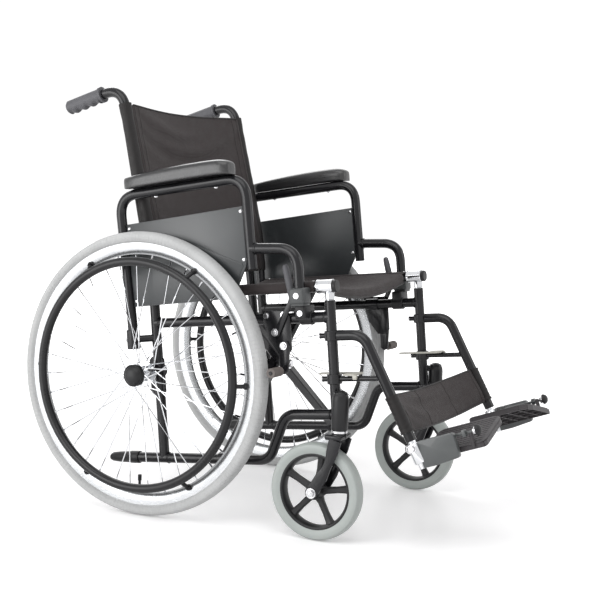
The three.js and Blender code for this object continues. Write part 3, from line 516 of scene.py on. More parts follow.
def hub_and_spokes(tag, hub, out):
    shell = [(0, -19), (15, -19), (15, -17.5), (25, -17), (25, -13), (17, -12), (13, -6), (13, 17),
             (17, 23), (25, 24), (25, 28), (15, 28.5), (15, 30), (0, 30)]
    parts = [turned("shell", shell, hub, out, 48)]
    for i in range(36):
        at_rim = (i + 0.5) * math.pi / 18
        at_hub = at_rim + (0.82 if (i // 2) % 2 else -0.82)
        reach = 26 if i % 2 else -15
        near = hub + out * reach / 1000 + Vector((0, math.cos(at_hub), math.sin(at_hub))) * 0.0215
        ray = Vector((0, math.cos(at_rim), math.sin(at_rim)))
        far = hub + ray * 0.2562 + out * (2 if i % 2 else -2) / 1000
        parts.append(rod(near, far, 1.15, 6, 0.2))
        parts.append(rod(far.lerp(near, 0.055), far, 2.1, 8, 0.4))
    fit(joined("spokes", parts), f"spokes_{tag}", f"rear_wheel_{tag}", "chrome", "spoke_chrome",
        f"spoked_hub_{tag}")
    cap = [(0, 0), (24, 0), (24, 3), (22.5, 5.5), (21.5, 5.8), (20.5, 5.2), (19.5, 6.6), (17, 10.2),
           (12.5, 13), (7, 14.5), (0, 15)]
    fit(turned("cap", cap, hub + out * 0.0303, out, 56), f"hub_dome_{tag}", f"rear_wheel_{tag}",
        "plastic", "black_plastic", f"hub_cap_{tag}")


def handrim(tag, hub, out):
    ring = [(242 + 9.5 * math.cos(t), 31 + 9.5 * math.sin(t)) for t in
            [2 * math.pi * i / 20 for i in range(20)]]
    parts = [turned("ring", ring, hub, out, 160)]
    path = [hub + out * x / 1000 + Vector((0, 0, z / 1000)) for x, z in ((9, 264), (22, 255), (31, 242))]
    tab = joined("tab", [tube("arm", bend(path, 9), 4.6, 14), rod(
        hub + out * 0.010 + Vector((0, 0, 0.264)), hub + out * 0.0145 + Vector((0, 0, 0.260)), 7, 16)])
    for i in range(6):
        parts.append(copy_turned(tab, hub, "X", (i + 0.5) * math.pi / 3))
    bpy.data.objects.remove(tab)
    fit(joined("handrim", parts), f"hand_rim_{tag}", f"rear_wheel_{tag}", "handrim",
        "handrim_black", f"handrim_{tag}")


# ---- caster ----------------------------------------------------------------------------------
def caster(side, tag):
    swivel = flat(side * CASTER_X, -455, 226)
    axle = flat(side * CASTER_X, -409, 100)
    tyre = [(78.3, -12.6), (84, -14.6), (90.5, -16), (95.5, -14.6), (98.7, -11), (99.8, -6), (100, 0),
            (99.8, 6), (98.7, 11), (95.5, 14.6), (90.5, 16), (84, 14.6), (78.3, 12.6)]
    fit(turned("tyre", tyre, axle, X, 96), f"small_tyre_{tag}", f"caster_wheel_{tag}",
        "caster_tyre", "caster_tyre", f"caster_tyre_{tag}")
    rim = [(78.2, -12.8), (78.2, 12.8), (75.5, 13.2), (73, 12), (70.5, 7), (70, 0), (70.5, -7), (73, -12),
           (75.5, -13.2)]
    hub = [(7, -19), (13.5, -19), (15.5, -17), (16.5, -8), (16.5, 8), (15.5, 17), (13.5, 19), (7, 19)]
    parts = [turned("rim", rim, axle, X, 80), turned("hub", hub, axle, X, 40)]
    spoke_rows = []
    for reach, wide, deep in ((13, 9.5, 6.5), (24, 7, 5.4), (48, 6.4, 5.4), (66, 7.6, 6.4), (72, 10, 8)):
        centre = axle + Vector((0, 0, reach / 1000))
        spoke_rows.append([centre + Vector((deep * u, wide * v, 0)) / 1000 for u, v in
                           ((-1, -0.55), (-0.55, -1), (0.55, -1), (1, -0.55), (1, 0.55), (0.55, 1),
                            (-0.55, 1), (-1, 0.55))])
    spoke = loft("spoke", spoke_rows)
    for i in range(5):
        parts.append(copy_turned(spoke, axle, "X", math.radians(8) + i * math.tau / 5))
    bpy.data.objects.remove(spoke)
    fit(joined("wheel", parts), f"small_wheel_{tag}", f"caster_wheel_{tag}", "plastic",
        "black_plastic", f"caster_wheel_{tag}")

    crown = -12
    legs = []
    for x in (-24.5, 24.5):
        arc = bend([swivel + Vector((x, -3, crown - 1)) / 1000, swivel + Vector((x, 10, -66)) / 1000,
                    swivel + Vector((x, 46, -126)) / 1000], 44, 12)
        rows = []
        for i, p in enumerate(arc):
            along = (arc[min(i + 1, len(arc) - 1)] - arc[max(i - 1, 0)]).normalized()
            wide = 13.5 - 4.5 * math.sin(math.pi * i / (len(arc) - 1))
            rows.append([p + along.cross(X) * wide * v / 1000 + X * 2.6 * u / 1000 for u, v in
                         ((-1, -0.8), (-0.6, -1), (0.6, -1), (1, -0.8), (1, 0.8), (0.6, 1),
                          (-0.6, 1), (-1, 0.8))])
        legs.append(loft("leg", rows))
        eye = axle + X * x / 1000
        legs.append(turned("eye", [(5.6, -2.9), (12.4, -2.9), (13.4, -2), (13.4, 2), (12.4, 2.9),
                                   (5.6, 2.9)], eye, X, 32))
    legs.append(block("crown", swivel + Vector((0, 3, crown + 3.5)) / 1000, (54.5, 36, 11), 4, 0, 3))
    legs.append(turned("neck", [(0, crown), (16, crown + 2), (15.5, -3), (14, -0.6), (0, -0.6)],
                       swivel, (0, 0, 1), 32))
    fit(joined("fork", legs), f"fork_{tag}", f"caster_{tag}", "powder_coat", "black_tube",
        f"caster_fork_{tag}")
    bolts = [hex_bolt(axle + X * s * 0.0276, X * s, 8, 6) for s in (-1, 1)]
    bolts.append(rod(axle - X * 0.0275, axle + X * 0.0275, 4.9, 16))
    bolts.append(turned("cone", [(0, -1), (16.4, -1), (16.4, 3.4), (0, 3.4)], swivel, (0, 0, 1), 32))
    fit(joined("axle", bolts), f"small_axle_{tag}", f"caster_{tag}", "zinc", "zinc",
        f"caster_axle_{tag}")
    pivot = axle + X * side * 0.0334
    fit(dome(pivot, X * side, 5.2, 2.2), f"axle_dome_{tag}", f"caster_{tag}", "chrome", "zinc")


# ---- side frame ------------------------------------------------------------------------------
def side_frame(side, tag):
    body = f"{tag}_side"
    x = side * HALF
    corner, end = at(x, cane_a(813), 813), at(x, -189, 784)
    shaft = side * CASTER_X
    axle = flat(x, 0, 305)
    low, high = flat(shaft, -455, 226.3), flat(shaft, -455, 307)
    parts = [
        tube("cane", bend([at(x, 0, 0), at(x, 0, KINK_B), corner, end], 48, 12), TUBE, 28),
        tube("rail", bend([at(x, -64, 0), at(x, 262, 0), at(x, 306, 96), at(x, 432, 96)], 24, 10), TUBE, 28),
        rod(at(x, 0, SIDE_B), at(x, FRONT_A, SIDE_B), TUBE, 28),
        rod(at(x, FRONT_A, 90), at(x, FRONT_A, 329), TUBE, 28),
        rod(low, high, 14, 32),
        rod(at(x, FRONT_A, 96), flat(shaft, -455, 262), 9, 16),
        rod(at(x, FRONT_A, 140), flat(shaft, -455, 296), 7, 16),
        rod(axle, axle + X * side * 0.036, 15, 32),
    ]
    for a, b, way in ((0, 0, FORWARD), (0, SIDE_B, FORWARD), (FRONT_A, SIDE_B, -FORWARD),
                      (FRONT_A, 96, -FORWARD)):
        start = at(x, a, b) + way * 0.0095
        parts.append(tube("weld", [start, start + way * 0.0045], 12.6, 28, 1.6))
    gusset = [(-21, 145), (-14, 138), (8, 138), (14, 145), (14, 215), (8, 222), (-14, 222), (-21, 215)]
    parts.append(side_plate("gusset", gusset, x, 8, 1))
    fit(joined("frame", parts), f"frame_tubes_{tag}", body, "powder_coat", "black_tube",
        f"side_frame_{tag}")

    cap = [(14.2, 5), (16.6, 5), (17.2, 6.5), (17.2, 64), (16.4, 72), (13.4, 79), (8, 83.4), (0, 85),
           (0, 76), (14.2, 62)]
    fit(turned("cap", cap, flat(shaft, -455, 226), (0, 0, 1), 36), f"housing_cap_{tag}", body,
        "plastic", "black_plastic")

    bolt = [rod(axle - X * side * 0.022, axle + X * side * 0.087, 7, 24),
            hex_bolt(axle - X * side * 0.0153, -X * side, 12, 9),
            hex_bolt(axle + X * side * 0.0363, X * side, 11, 3)]
    fit(joined("axle", bolt), f"wheel_axle_{tag}", body, "zinc", "zinc", f"rear_axle_{tag}")

    tail = at(x, -64.3, 0)
    rows = []
    for reach, radius, squeeze in ((0, 13, 1), (1, 13.5, 1), (22, 13.5, 1), (24, 12.6, 1), (52, 12.2, 0.95),
                                   (70, 11.5, 0.85), (75, 9.5, 0.75)):
        rows.append(section(tail - FORWARD * reach / 1000, -FORWARD, X, radius / 1000, 28, squeeze))
    fit(loft("tail", rows), f"tail_cap_{tag}", body, "plastic", "black_plastic", f"tip_cap_{tag}")

    run = (end - corner).normalized()
    under = run.cross(X).normalized()
    if under.z > 0:
        under = -under
    rows = []
    for i in range(67):
        reach = i * 1.48
        radius = 15.3 + (0.3 if i % 2 else 0)
        if i < 5:
            radius = 17.6
        elif i > 63:
            radius = 15.6 - 3.5 * (i - 63) / 3
        centre = end + run * (reach - 92.3) / 1000
        ring = []
        for n in range(32):
            t = n * math.tau / 32
            ray = X * math.cos(t) + under * math.sin(t)
            finger = 0
            if 6 < i < 62:
                finger = max(0, math.sin(t)) ** 2 * 1.9 * math.cos(math.tau * (i - 6) / 15.5)
            ring.append(centre + ray * (radius + finger) / 1000)
        rows.append(ring)
    fit(loft("grip", rows), f"hand_grip_{tag}", body, "grip", "ribbed_grip", f"push_grip_{tag}", smooth=50)


# ---- folding braces, seat rails and guides ------------------------------------------------------
def cross_brace(side, tag):
    other = {"right": "left", "left": "right"}[tag]
    body = f"cross_brace_lower_{tag}"
    low, high = side * HALF, -side * HALF
    a = 168 + side * 14
    foot, head = at(low, a, 0), at(high, a, SEAT_B)
    run = (head - foot).normalized()
    deep = run.cross(FORWARD).normalized()
    rows = []
    for reach, wide in ((12, 12), (20, 12), (520, 12), (598, 12)):
        centre = foot + run * reach / 1000
        corners = ((-1, -0.8), (-0.8, -1), (0.8, -1), (1, -0.8), (1, 0.8), (0.8, 1), (-0.8, 1), (-1, 0.8))
        rows.append([centre + (FORWARD * wide * u + deep * 8 * v) / 1000 for u, v in corners])
    parts = [loft("bar", rows), turned("sleeve", [(11.4, -13), (14, -13), (15, -12), (15, 12), (14, 13),
                                                  (11.4, 13)], foot, FORWARD, 32),
             rod(at(high, 16, SEAT_B), at(high, 434, SEAT_B), TUBE, 28),
             turned("weld", [(11, -15), (12.4, -13), (12.4, 13), (11, 15)], head, FORWARD, 28)]
    fit(joined("brace", parts), f"brace_{tag}", body, "powder_coat", "black_tube",
        f"cross_brace_{tag}")
    for place, way, long in ((434, FORWARD, 9), (16, -FORWARD, 3)):
        plug = [(0, 0), (12.4, 0), (13, 1), (13, long - 2), (11.6, long), (0, long + 0.4)]
        fit(turned("plug", plug, at(high, place, SEAT_B), way, 32), f"rail_plug_{other}_{place}", body,
            "plastic", "black_plastic")
    screws = [hex_bolt(at(high, place, SEAT_B + TUBE - 0.6), UPWARD, 3.2, 2.4) for place in (26, 390)]
    fit(joined("screws", screws), f"rail_screws_{other}", body, "zinc", "zinc")


def pivot():
    middle = at(0, 168, SEAT_B / 2)
    parts = [rod(middle - FORWARD * 0.033, middle + FORWARD * 0.033, 5, 20),
             hex_bolt(middle + FORWARD * 0.0268, FORWARD, 9, 7),
             hex_bolt(middle - FORWARD * 0.0268, -FORWARD, 9, 7)]
    fit(joined("pivot", parts), "scissor_bolt", "cross_brace_lower_right", "zinc", "zinc", "pivot_bolt")


def seat_guide(side, tag):
    x = side * HALF
    collar = [(11.45, -18), (13.6, -18), (14.6, -17), (14.6, -14), (14, -13.4), (14, 13.4), (14.6, 14),
              (14.6, 17), (13.6, 18), (11.45, 18)]
    parts = [turned("collar", collar, at(x, 416.5, SEAT_B), FORWARD, 36),
             rod(at(x, FRONT_A, 330), at(x, FRONT_A, SEAT_B - 12), 10, 28),
             rod(at(x, FRONT_A, 100), at(x, FRONT_A, 332), 7.9, 20)]
    fit(joined("guide", parts), f"rail_guide_{tag}", f"seat_guide_{tag}", "chrome", "bright_steel",
        f"seat_guide_{tag}")


# ---- armrest ---------------------------------------------------------------------------------
ARM_X = 268
LEG_A = -42           # rear leg, in its socket
PAD_SLOPE = 16 / 315  # the rise of the armrest's top tube


def rear_leg_a(b):
    """The armrest's rear leg leans back a little above its socket."""
    return LEG_A - 12 * (b - 300) / 274


def armrest(side, tag):
    x = side * ARM_X
    body = f"armrest_{tag}"
    loop = bend([at(x, LEG_A, 246), at(x, LEG_A, 300), at(x, rear_leg_a(574), 574), at(x, 261, 590),
                 at(x, 265, 400)], 46, 12)
    front = bend([at(x, 265, 443), at(x, 371, 437), at(x, 371, 326)], 42, 12)
    parts = [tube("loop", loop, TUBE, 28), tube("front", front, TUBE, 28),
             tube("weld", [at(x, 274.5, 442.6), at(x, 279.5, 442.3)], 12.6, 28, 1.6)]
    fit(joined("arm", parts), f"arm_tubes_{tag}", body, "powder_coat", "black_tube",
        f"armrest_frame_{tag}")

    middle = x + side * 12
    rows = []
    shape = [(0.0, 0.34), (0.025, 0.66), (0.08, 0.88), (0.2, 0.97), (0.5, 1.0), (0.78, 1.0),
             (0.9, 0.98), (0.96, 0.88), (0.99, 0.68), (1.0, 0.4)]
    for share, wide in shape:
        a = -27 + 267 * share
        half = 25 * wide
        nose = max(0, (share - 0.84) / 0.16) ** 2
        base = 585.2 + (a + 54) * PAD_SLOPE - 3 * nose
        crown = 25 + 9 * math.sin(math.pi * min(share / 1.2, 0.62)) * wide - 5 * nose
        ring = []
        for u, v in ((-0.80, 0), (-0.97, 0.04), (-0.97, 0.34), (-1, 0.42), (-0.97, 0.74), (-0.8, 0.92),
                     (-0.4, 0.99), (0, 1), (0.4, 0.99), (0.8, 0.92), (0.97, 0.74), (1, 0.42),
                     (0.97, 0.34), (0.97, 0.04), (0.80, 0)):
            ring.append(at(middle + half * u, a, base + crown * v))
        rows.append(ring)
    pad = loft("pad", rows)
    smooth = pad.modifiers.new("round", "SUBSURF")
    smooth.levels = smooth.render_levels = 2
    alone(pad)
    bpy.ops.object.modifier_apply(modifier="round")
    fit(pad, f"pad_{tag}", body, "pad", "arm_pad", f"arm_pad_{tag}", smooth=60)
    screws = [hex_bolt(at(x, a, b - 11.2), -UPWARD, 3.4, 2.6) for a, b in ((40, 578.8), (190, 586.4))]
    fit(joined("screws", screws), f"pad_screws_{tag}", body, "zinc", "zinc")

    outline = [(rear_leg_a(333) + 11.3, 333), (174, 340), (214, 347), (222, 352), (252, 408), (253, 416),
               (250.6, 531), (rear_leg_a(512) + 11.3, 512)]
    panel = side_plate("panel", outline, x, 4, 0.9)
    step = [(-27, 338), (172, 345), (212, 351), (246, 408), (243, 414), (126, 461), (112, 462),
            (96, 452), (-32, 441)]
    raised = side_plate("step", step, x + side * 2.2, 2.2, 1)
    fit(joined("panel", [panel, raised]), f"skirt_{tag}", body, "panel", "side_panel",
        f"side_panel_{tag}")
    screws = []
    for a, b in ((246, 521), (247, 421), (-26, 345), (-33, 502)):
        for way in (-1, 1):
            screws.append(dome(at(x + way * 2.0, a, b), X * way, 4.2, 1.8))
    fit(joined("screws", screws), f"skirt_screws_{tag}", body, "zinc", "zinc")


def arm_sockets(side, tag):
    x, tube_x = side * ARM_X, side * HALF
    body = f"{tag}_side"
    wall = 14.6
    cup = [(11.5, 3), (11.5, 42), (13.4, 42), (wall, 40.8), (wall, 1.2), (13.4, 0), (0.2, 0), (0.2, 3)]
    rear = [turned("cup", cup, at(x, LEG_A, 242), UPWARD, 36),
            rod(at(x, LEG_A, 263) + (at(tube_x, 0, 263) - at(x, LEG_A, 263)).normalized() * 0.0125,
                at(tube_x, 0, 263), 8, 20)]
    fit(joined("cup", rear), f"arm_cup_{tag}", body, "powder_coat", "black_tube",
        f"arm_socket_rear_{tag}")
    screw = at(x, LEG_A - 14.3, 262)
    fit(hex_bolt(screw, -FORWARD, 5, 3.4), f"cup_screw_{tag}", body, "zinc", "zinc")

    upper = block("upper", at(x, 371, 341), (36, 34, 33), 4.5, -PITCH, 3)
    step = block("step", at(x, 371, 324), (31, 29, 6), 1.5, -PITCH)
    fit(joined("socket", [upper, step]), f"arm_socket_{tag}", body, "grey_plastic", "grey_plastic",
        f"arm_socket_front_{tag}")
    middle = (x + tube_x) / 2
    clamp = [block("clamp", at(middle - side * 3, 371, 309), (46, 24, 29), 4, -PITCH, 3),
             rod(at(tube_x, 357, SIDE_B), at(tube_x, 385, SIDE_B), 14.4, 32, 1.2)]
    fit(joined("clamp", clamp), f"arm_clamp_{tag}", body, "plastic", "black_plastic")
    bolts = [hex_bolt(at(out_x, 371, b), X * side, 4.4, 3) for out_x, b in ((middle + side * 19.6, 306),
                                                                       (x + side * 17.6, 342))]
    fit(joined("bolts", bolts), f"socket_bolts_{tag}", body, "zinc", "zinc")


# ---- brake -----------------------------------------------------------------------------------
def brake(side, tag):
    frame_x = side * HALF
    inner = frame_x + side * 13.55
    arm_x = inner + side * 4.8
    side_body = f"{tag}_side"
    base = [(276, 312), (330, 312), (338, 300), (338, 232), (330, 222), (308, 222), (286, 252), (276, 290)]
    parts = [side_plate("base", base, inner, 4.2, 0.8),
             turned("clamp", [(11.4, -15), (13.6, -15), (13.6, 15), (11.4, 15)],
                    at(frame_x, 304, SIDE_B), FORWARD, 32)]
    fit(joined("bracket", parts), f"brake_plate_{tag}", side_body, "powder_coat", "zinc",
        f"brake_bracket_{tag}")
    bolts = [hex_bolt(at(arm_x + side * 2.4, a, b), X * side, 6, 4.6) for a, b in ((304, 268), (322, 240))]
    bolts += [hex_bolt(at(inner + side * 2.2, a, b), X * side, 5.2, 3.2) for a, b in ((284, 303), (324, 303))]
    fit(joined("bolts", bolts), f"brake_bolts_{tag}", side_body, "zinc", "zinc")

    lever = [(295, 260), (303, 257), (313, 261), (346, 322), (350, 340), (344, 344), (336, 326)]
    fit(side_plate("lever", lever, arm_x, 4, 0.8), f"brake_lever_plate_{tag}", f"brake_lever_{tag}",
        "powder_coat", "black_tube", f"brake_lever_{tag}")
    handle = []
    for share, wide in ((0, 5), (0.04, 6.4), (0.5, 6.6), (0.85, 6.2), (0.97, 5), (1, 3)):
        centre = at(arm_x, 349, 334).lerp(at(arm_x, 336, 406), share)
        along = (at(arm_x, 336, 406) - at(arm_x, 349, 334)).normalized()
        handle.append(section(centre, along, X, wide / 1000, 20, 1.15))
    fit(loft("handle", handle), f"brake_handle_{tag}", f"brake_lever_{tag}", "grip", "grey_plastic")

    arm = [(311, 249), (331, 249), (336, 240), (329, 186), (319, 181), (311, 188)]
    parts = [side_plate("arm", arm, arm_x, 4.2, 0.8),
             rod(at(arm_x, 320, 190), at(frame_x + side * 80, 320, 190), 4, 18)]
    fit(joined("arm", parts), f"brake_arm_plate_{tag}", f"brake_arm_{tag}", "powder_coat", "zinc",
        f"brake_arm_{tag}")
    knurl = []
    for i in range(25):
        reach = 38 + 40 * i / 24
        knurl.append(section(at(frame_x + side * reach, 320, 190), X * side, FORWARD,
                             (9.9 if i % 2 else 9.3) / 1000, 28))
    fit(loft("roller", knurl), f"brake_roller_{tag}", f"brake_arm_{tag}", "roller", "grey_plastic")


# ---- leg rest --------------------------------------------------------------------------------
KNEE = (494, 257)
END = (584, 44)


def leg_point(x, share, beyond=0.0):
    start, end = at(x, *KNEE), at(x, *END)
    return start.lerp(end, share) + (end - start).normalized() * beyond / 1000


def leg_rest(side, tag):
    x = side * HALF
    body = f"leg_rest_{tag}"
    end, down = at(x, *END), (at(x, *END) - at(x, *KNEE)).normalized()
    latch = leg_point(x, 88 / 213)
    collar = [(11.4, -10), (14.6, -10), (15.5, -9), (15.5, 9), (14.6, 10), (11.4, 10)]
    parts = [tube("hanger", bend([at(x, 437, 257), at(x, *KNEE), end], 44, 14), TUBE, 28),
             rod(at(x, 437, 169), latch, 5.5, 18),
             rod(at(x, 398, 257), at(x, 410.2, 257), 5.5, 18),
             rod(at(x, 396, 169), at(x, 410.2, 169), 5.5, 18)]
    for b in (257, 169):
        parts.append(turned("collar", collar, at(x, FRONT_A, b), UPWARD, 36))
    fit(joined("hanger", parts), f"hanger_{tag}", body, "powder_coat", "black_tube",
        f"leg_rest_tube_{tag}")
    bolts = [hex_bolt(at(x, 398.4, b), -FORWARD, 4.6, 3.4) for b in (257, 169)]
    bolts.append(hex_bolt(at(x, 452, 169) + UPWARD * 0.0052, UPWARD, 4, 3))
    fit(joined("bolts", bolts), f"hanger_bolts_{tag}", body, "zinc", "zinc")

    paddle = [at(x + side * u, a, 176) for u, a in
              ((11, 448), (13, 453), (13, 472), (9, 477), (-27, 477), (-33, 470), (-34.5, 440), (-34.5, 384),
               (-32, 378), (-22, 378), (-19, 384), (-18.5, 440), (-16, 446))]
    parts = [plate("paddle", paddle, UPWARD * 0.0034, 1),
             side_plate("stop", [(470, 168), (478, 168), (479, 177), (469, 177)], x + side * 9.8, 6, 0.5)]
    fit(joined("latch", parts), f"latch_paddle_{tag}", f"latch_{tag}", "latch", "grey_plastic",
        f"latch_lever_{tag}")

    foot = f"foot_{tag}"
    far = end + down * 0.058
    stem = [rod(end - down * 0.12, far, 7.5, 24),
            turned("clamp", [(7.5, 5), (11.4, 6), (12.5, 8), (12.5, 44), (11.4, 46), (7.5, 47)], end, down, 32)]
    fit(joined("stem", stem), f"foot_stem_{tag}", foot, "chrome", "bright_steel", f"foot_tube_{tag}")
    clamp = [hex_bolt(end + down * 0.014 + X * side * 0.0128, X * side, 6.5, 5)]
    clamp.append(hex_bolt(end + down * 0.014 - FORWARD * 0.0128, -FORWARD, 5, 4))
    fit(joined("clamp", clamp), f"clamp_bolt_{tag}", foot, "zinc", "zinc")

    tilt = math.radians(14)
    along = FORWARD * math.cos(tilt) + UPWARD * math.sin(tilt)
    rise = UPWARD * math.cos(tilt) - FORWARD * math.sin(tilt)
    start = end + down * 0.026 + along * 0.008
    outline = []
    for u, v in ((0, -27), (0, 23), (1, 26), (4, 27), (73, 27), (77, 25.5), (79, 22), (79, -20),
                 (76, -23), (30, -27)):
        outline.append(start + along * u / 1000 + rise * (v - 4) / 1000 - X * 0.007)
    arm = plate("arm", outline, X * 0.014, 1.6)
    hinge = start + along * 0.092 + rise * 0.015 - X * side * 0.013
    parts = [arm, rod(hinge - along * 0.088, hinge + along * 0.024, 3, 18)]
    for step in (-70, 4):
        eye = hinge + along * step / 1000 + X * side * 0.004
        parts.append(block("lug", eye, (12, 8, 14), 1.5, -PITCH - tilt))
    fit(joined("arm", parts), f"foot_bracket_{tag}", foot, "grey_metal", "grey_metal",
        f"foot_arm_{tag}")
    tip = hinge + along * 0.022
    fit(turned("nut", [(0, 0), (7.4, 0), (8, 1), (8, 6), (5, 8), (0, 8)], tip, along, 28),
        f"hinge_nut_{tag}", foot, "zinc", "zinc")
    fit(dome(tip + along * 0.0065, along, 11.5, 10.5), f"hinge_knob_{tag}", foot, "plastic", "black_plastic")
    footplate(side, tag, hinge, along, rise)


def footplate(side, tag, hinge, along, rise):
    """A ribbed tray: a skin with a rim and cross ribs underneath, on two ears."""
    inward = -X * side
    tilt = math.radians(13)
    wide = inward * math.cos(tilt) + rise * math.sin(tilt)
    face = wide.cross(along).normalized()
    if face.z < 0:
        face = -face
    base = hinge - rise * 0.03

    def on(u, v, w):
        return base + wide * u / 1000 - along * v / 1000 + face * w / 1000

    skin = [on(u, v, 2.6) for u, v in
            ((6, -34), (3, -28), (3, 96), (9, 104), (138, 104), (149, 94), (149, -18), (139, -33), (120, -38),
             (20, -38))]
    parts = [plate("skin", skin, face * 0.0034, 1.2)]
    rim = [(4, -34), (4, 98), (12, 103), (137, 103), (148, 93), (148, -17), (138, -32), (118, -37), (12, -37)]
    for one, two in zip(rim, rim[1:] + rim[:1]):
        run = Vector((two[0] - one[0], two[1] - one[1], 0)).normalized()
        off = Vector((-run.y, run.x, 0)) * 1.5
        strip = [on(one[0] - off.x, one[1] - off.y, -5.6), on(two[0] - off.x, two[1] - off.y, -5.6),
                 on(two[0] + off.x, two[1] + off.y, -5.6), on(one[0] + off.x, one[1] + off.y, -5.6)]
        parts.append(plate("rim", strip, face * 0.0088, 0))
    for v in (-12, 14, 40, 66, 88):
        parts.append(plate("rib", [on(5, v - 1, -4.6), on(147, v - 1, -4.6), on(147, v + 1, -4.6),
                                   on(5, v + 1, -4.6)], face * 0.0076, 0))
    for u in (40, 76, 112):
        parts.append(plate("rib", [on(u - 1, -35, -4.6), on(u + 1, -35, -4.6), on(u + 1, 102, -4.6),
                                   on(u - 1, 102, -4.6)], face * 0.0076, 0))
    for u in range(18, 142, 12):
        row = [on(u - 2, -28, 5.6), on(u + 2, -28, 5.6), on(u + 2, 94, 5.6), on(u - 2, 94, 5.6)]
        parts.append(plate("tread", row, face * 0.0012, 0.4))
    for v in (-14, 80):
        outline = [hinge - along * (v - 3) / 1000 + inward * p / 1000 + rise * q / 1000 for p, q in
                   ((-2, -31), (-2, 2), (0, 5), (3, 5.2), (6, 3), (10, -20), (18, -27), (18, -31))]
        parts.append(plate("ear", outline, -along * 0.006, 0.8))
    fit(joined("tray", parts), f"foot_tray_{tag}", f"footplate_{tag}", "footplate",
        "footplate_plastic", f"footplate_{tag}")


# ---- soft pieces -----------------------------------------------------------------------------
def hang(sheet, held, frames=22, slack=-0.012):
    """Lets a sheet settle between its held edges, then keeps the settled shape."""
    group = sheet.vertex_groups.new(name="held")
    group.add(held, 1.0, "REPLACE")
    cloth = sheet.modifiers.new("hang", "CLOTH")
    rules = cloth.settings
    rules.vertex_group_mass = "held"
    rules.mass = 0.25
    rules.quality = 6
    rules.tension_stiffness = rules.compression_stiffness = 40
    rules.shear_stiffness = 20
    rules.bending_stiffness = 2.0
    rules.shrink_min = slack
    rules.effector_weights.gravity = 0.6
    cloth.point_cache.frame_start, cloth.point_cache.frame_end = 1, frames
    for number in range(1, frames + 1):
        scene.frame_set(number)
    alone(sheet)
    bpy.ops.object.modifier_apply(modifier="hang")
    sheet.vertex_groups.clear()
    scene.frame_set(1)


def thicken(sheet, depth, offset=0.0):
    wall = sheet.modifiers.new("wall", "SOLIDIFY")
    wall.thickness = depth / 1000
    wall.offset = offset
    round_off = sheet.modifiers.new("round", "SUBSURF")
    round_off.levels = round_off.render_levels = 1
    alone(sheet)
    bpy.ops.object.modifier_apply(modifier="wall")
    bpy.ops.object.modifier_apply(modifier="round")


def edge_points(sheet, picked):
    return [sheet.data.vertices[i].co.copy() for i in picked]


def seat():
    """The seat: one length of nylon from rail to rail, wrapped over both."""
    wrap = 12.4
    turns = [math.radians(t) for t in (235, 200, 165, 130, 100)]
    left = [(-HALF + wrap * math.cos(t), wrap * math.sin(t)) for t in turns]
    right = [(-x, b) for x, b in reversed(left)]
    span = 52
    run = []
    for i in range(1, span):
        x = left[-1][0] + (right[0][0] - left[-1][0]) * i / span
        run.append((x, wrap - 3 * (1 - (x / HALF) ** 2)))
    profile = left + run + right
    rows = []
    lines = 40
    for n in range(lines + 1):
        a = 18 + 377 * n / lines
        near_front = max(0, (a - 330) / 65)
        row = []
        for x, b in profile:
            sag = 3.2 * near_front * math.sin(x / 46) * (1 - (x / 252) ** 2)
            row.append(at(x, a, SEAT_B + b + sag))
        rows.append(row)
    cloth = loft("seat", rows, closed=False, capped=False)
    wide = len(profile)
    edge = len(left)
    held = [r * wide + c for r in range(lines + 1) for c in [*range(edge), *range(wide - edge, wide)]]
    hang(cloth, held, 22, -0.003)
    front = edge_points(cloth, range(lines * wide + edge + 2, (lines + 1) * wide - edge - 2))
    fold = [[p + FORWARD * ahead / 1000 - UPWARD * drop / 1000 for p in front]
            for ahead, drop in ((-3, 0), (1, 0.8), (3, 4), (3.2, 10), (2.4, 19))]
    flap = loft("flap", fold, closed=False, capped=False)
    hem = tube("hem", fold[-1], 2.0, 10, 0.4, 1.4)
    seams = []
    for c in (edge + 1, wide - edge - 2):
        seams.append(tube("seam", [p + UPWARD * 0.0016 for p in edge_points(
            cloth, range(c, (lines + 1) * wide, wide))], 0.7, 8, 0.2))
    thicken(cloth, 2.2)
    thicken(flap, 2)
    for piece, name, look in ((cloth, "seat_cloth", "nylon"), (flap, "seat_flap", "nylon"),
                              (hem, "seat_hem", "binding"),
                              (joined("seams", seams), "seat_seams", "thread")):
        fit(piece, name, None, look, "nylon", smooth=60)
        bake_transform(piece)
    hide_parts("seat_sling")


def spaced(path, steps):
    """Points at even distances along a path."""
    runs = [(two - one).length for one, two in zip(path, path[1:])]
    points = []
    for i in range(steps + 1):
        reach = sum(runs) * i / steps
        n = 0
        while n < len(runs) - 1 and reach > runs[n]:
            reach -= runs[n]
            n += 1
        points.append(path[n].lerp(path[n + 1], reach / runs[n]))
    return points


def sleeve(name, body, path, node, radius=13.2):
    """The stitched tunnel of cloth round an upright tube, with its turned hems."""
    steps = 22
    centres = spaced(path, steps)
    rows = []
    for i, centre in enumerate(centres):
        along = (centres[min(i + 1, steps)] - centres[max(i - 1, 0)]).normalized()
        swell = 0.35 * math.sin(i * 2.1) + (0.7 if i in (0, 1, steps - 1, steps) else 0)
        rows.append(section(centre, along, X, (radius + swell) / 1000, 32))
    inner = [section(centres[-1], along, X, 11.5 / 1000, 32),
             section(centres[0], (centres[1] - centres[0]).normalized(), X, 11.5 / 1000, 32)]
    piece = loft(name, rows + inner + [rows[0]], capped=False)
    tidy(piece)
    return fit(piece, name, body, "sleeve", "nylon", node, smooth=60)


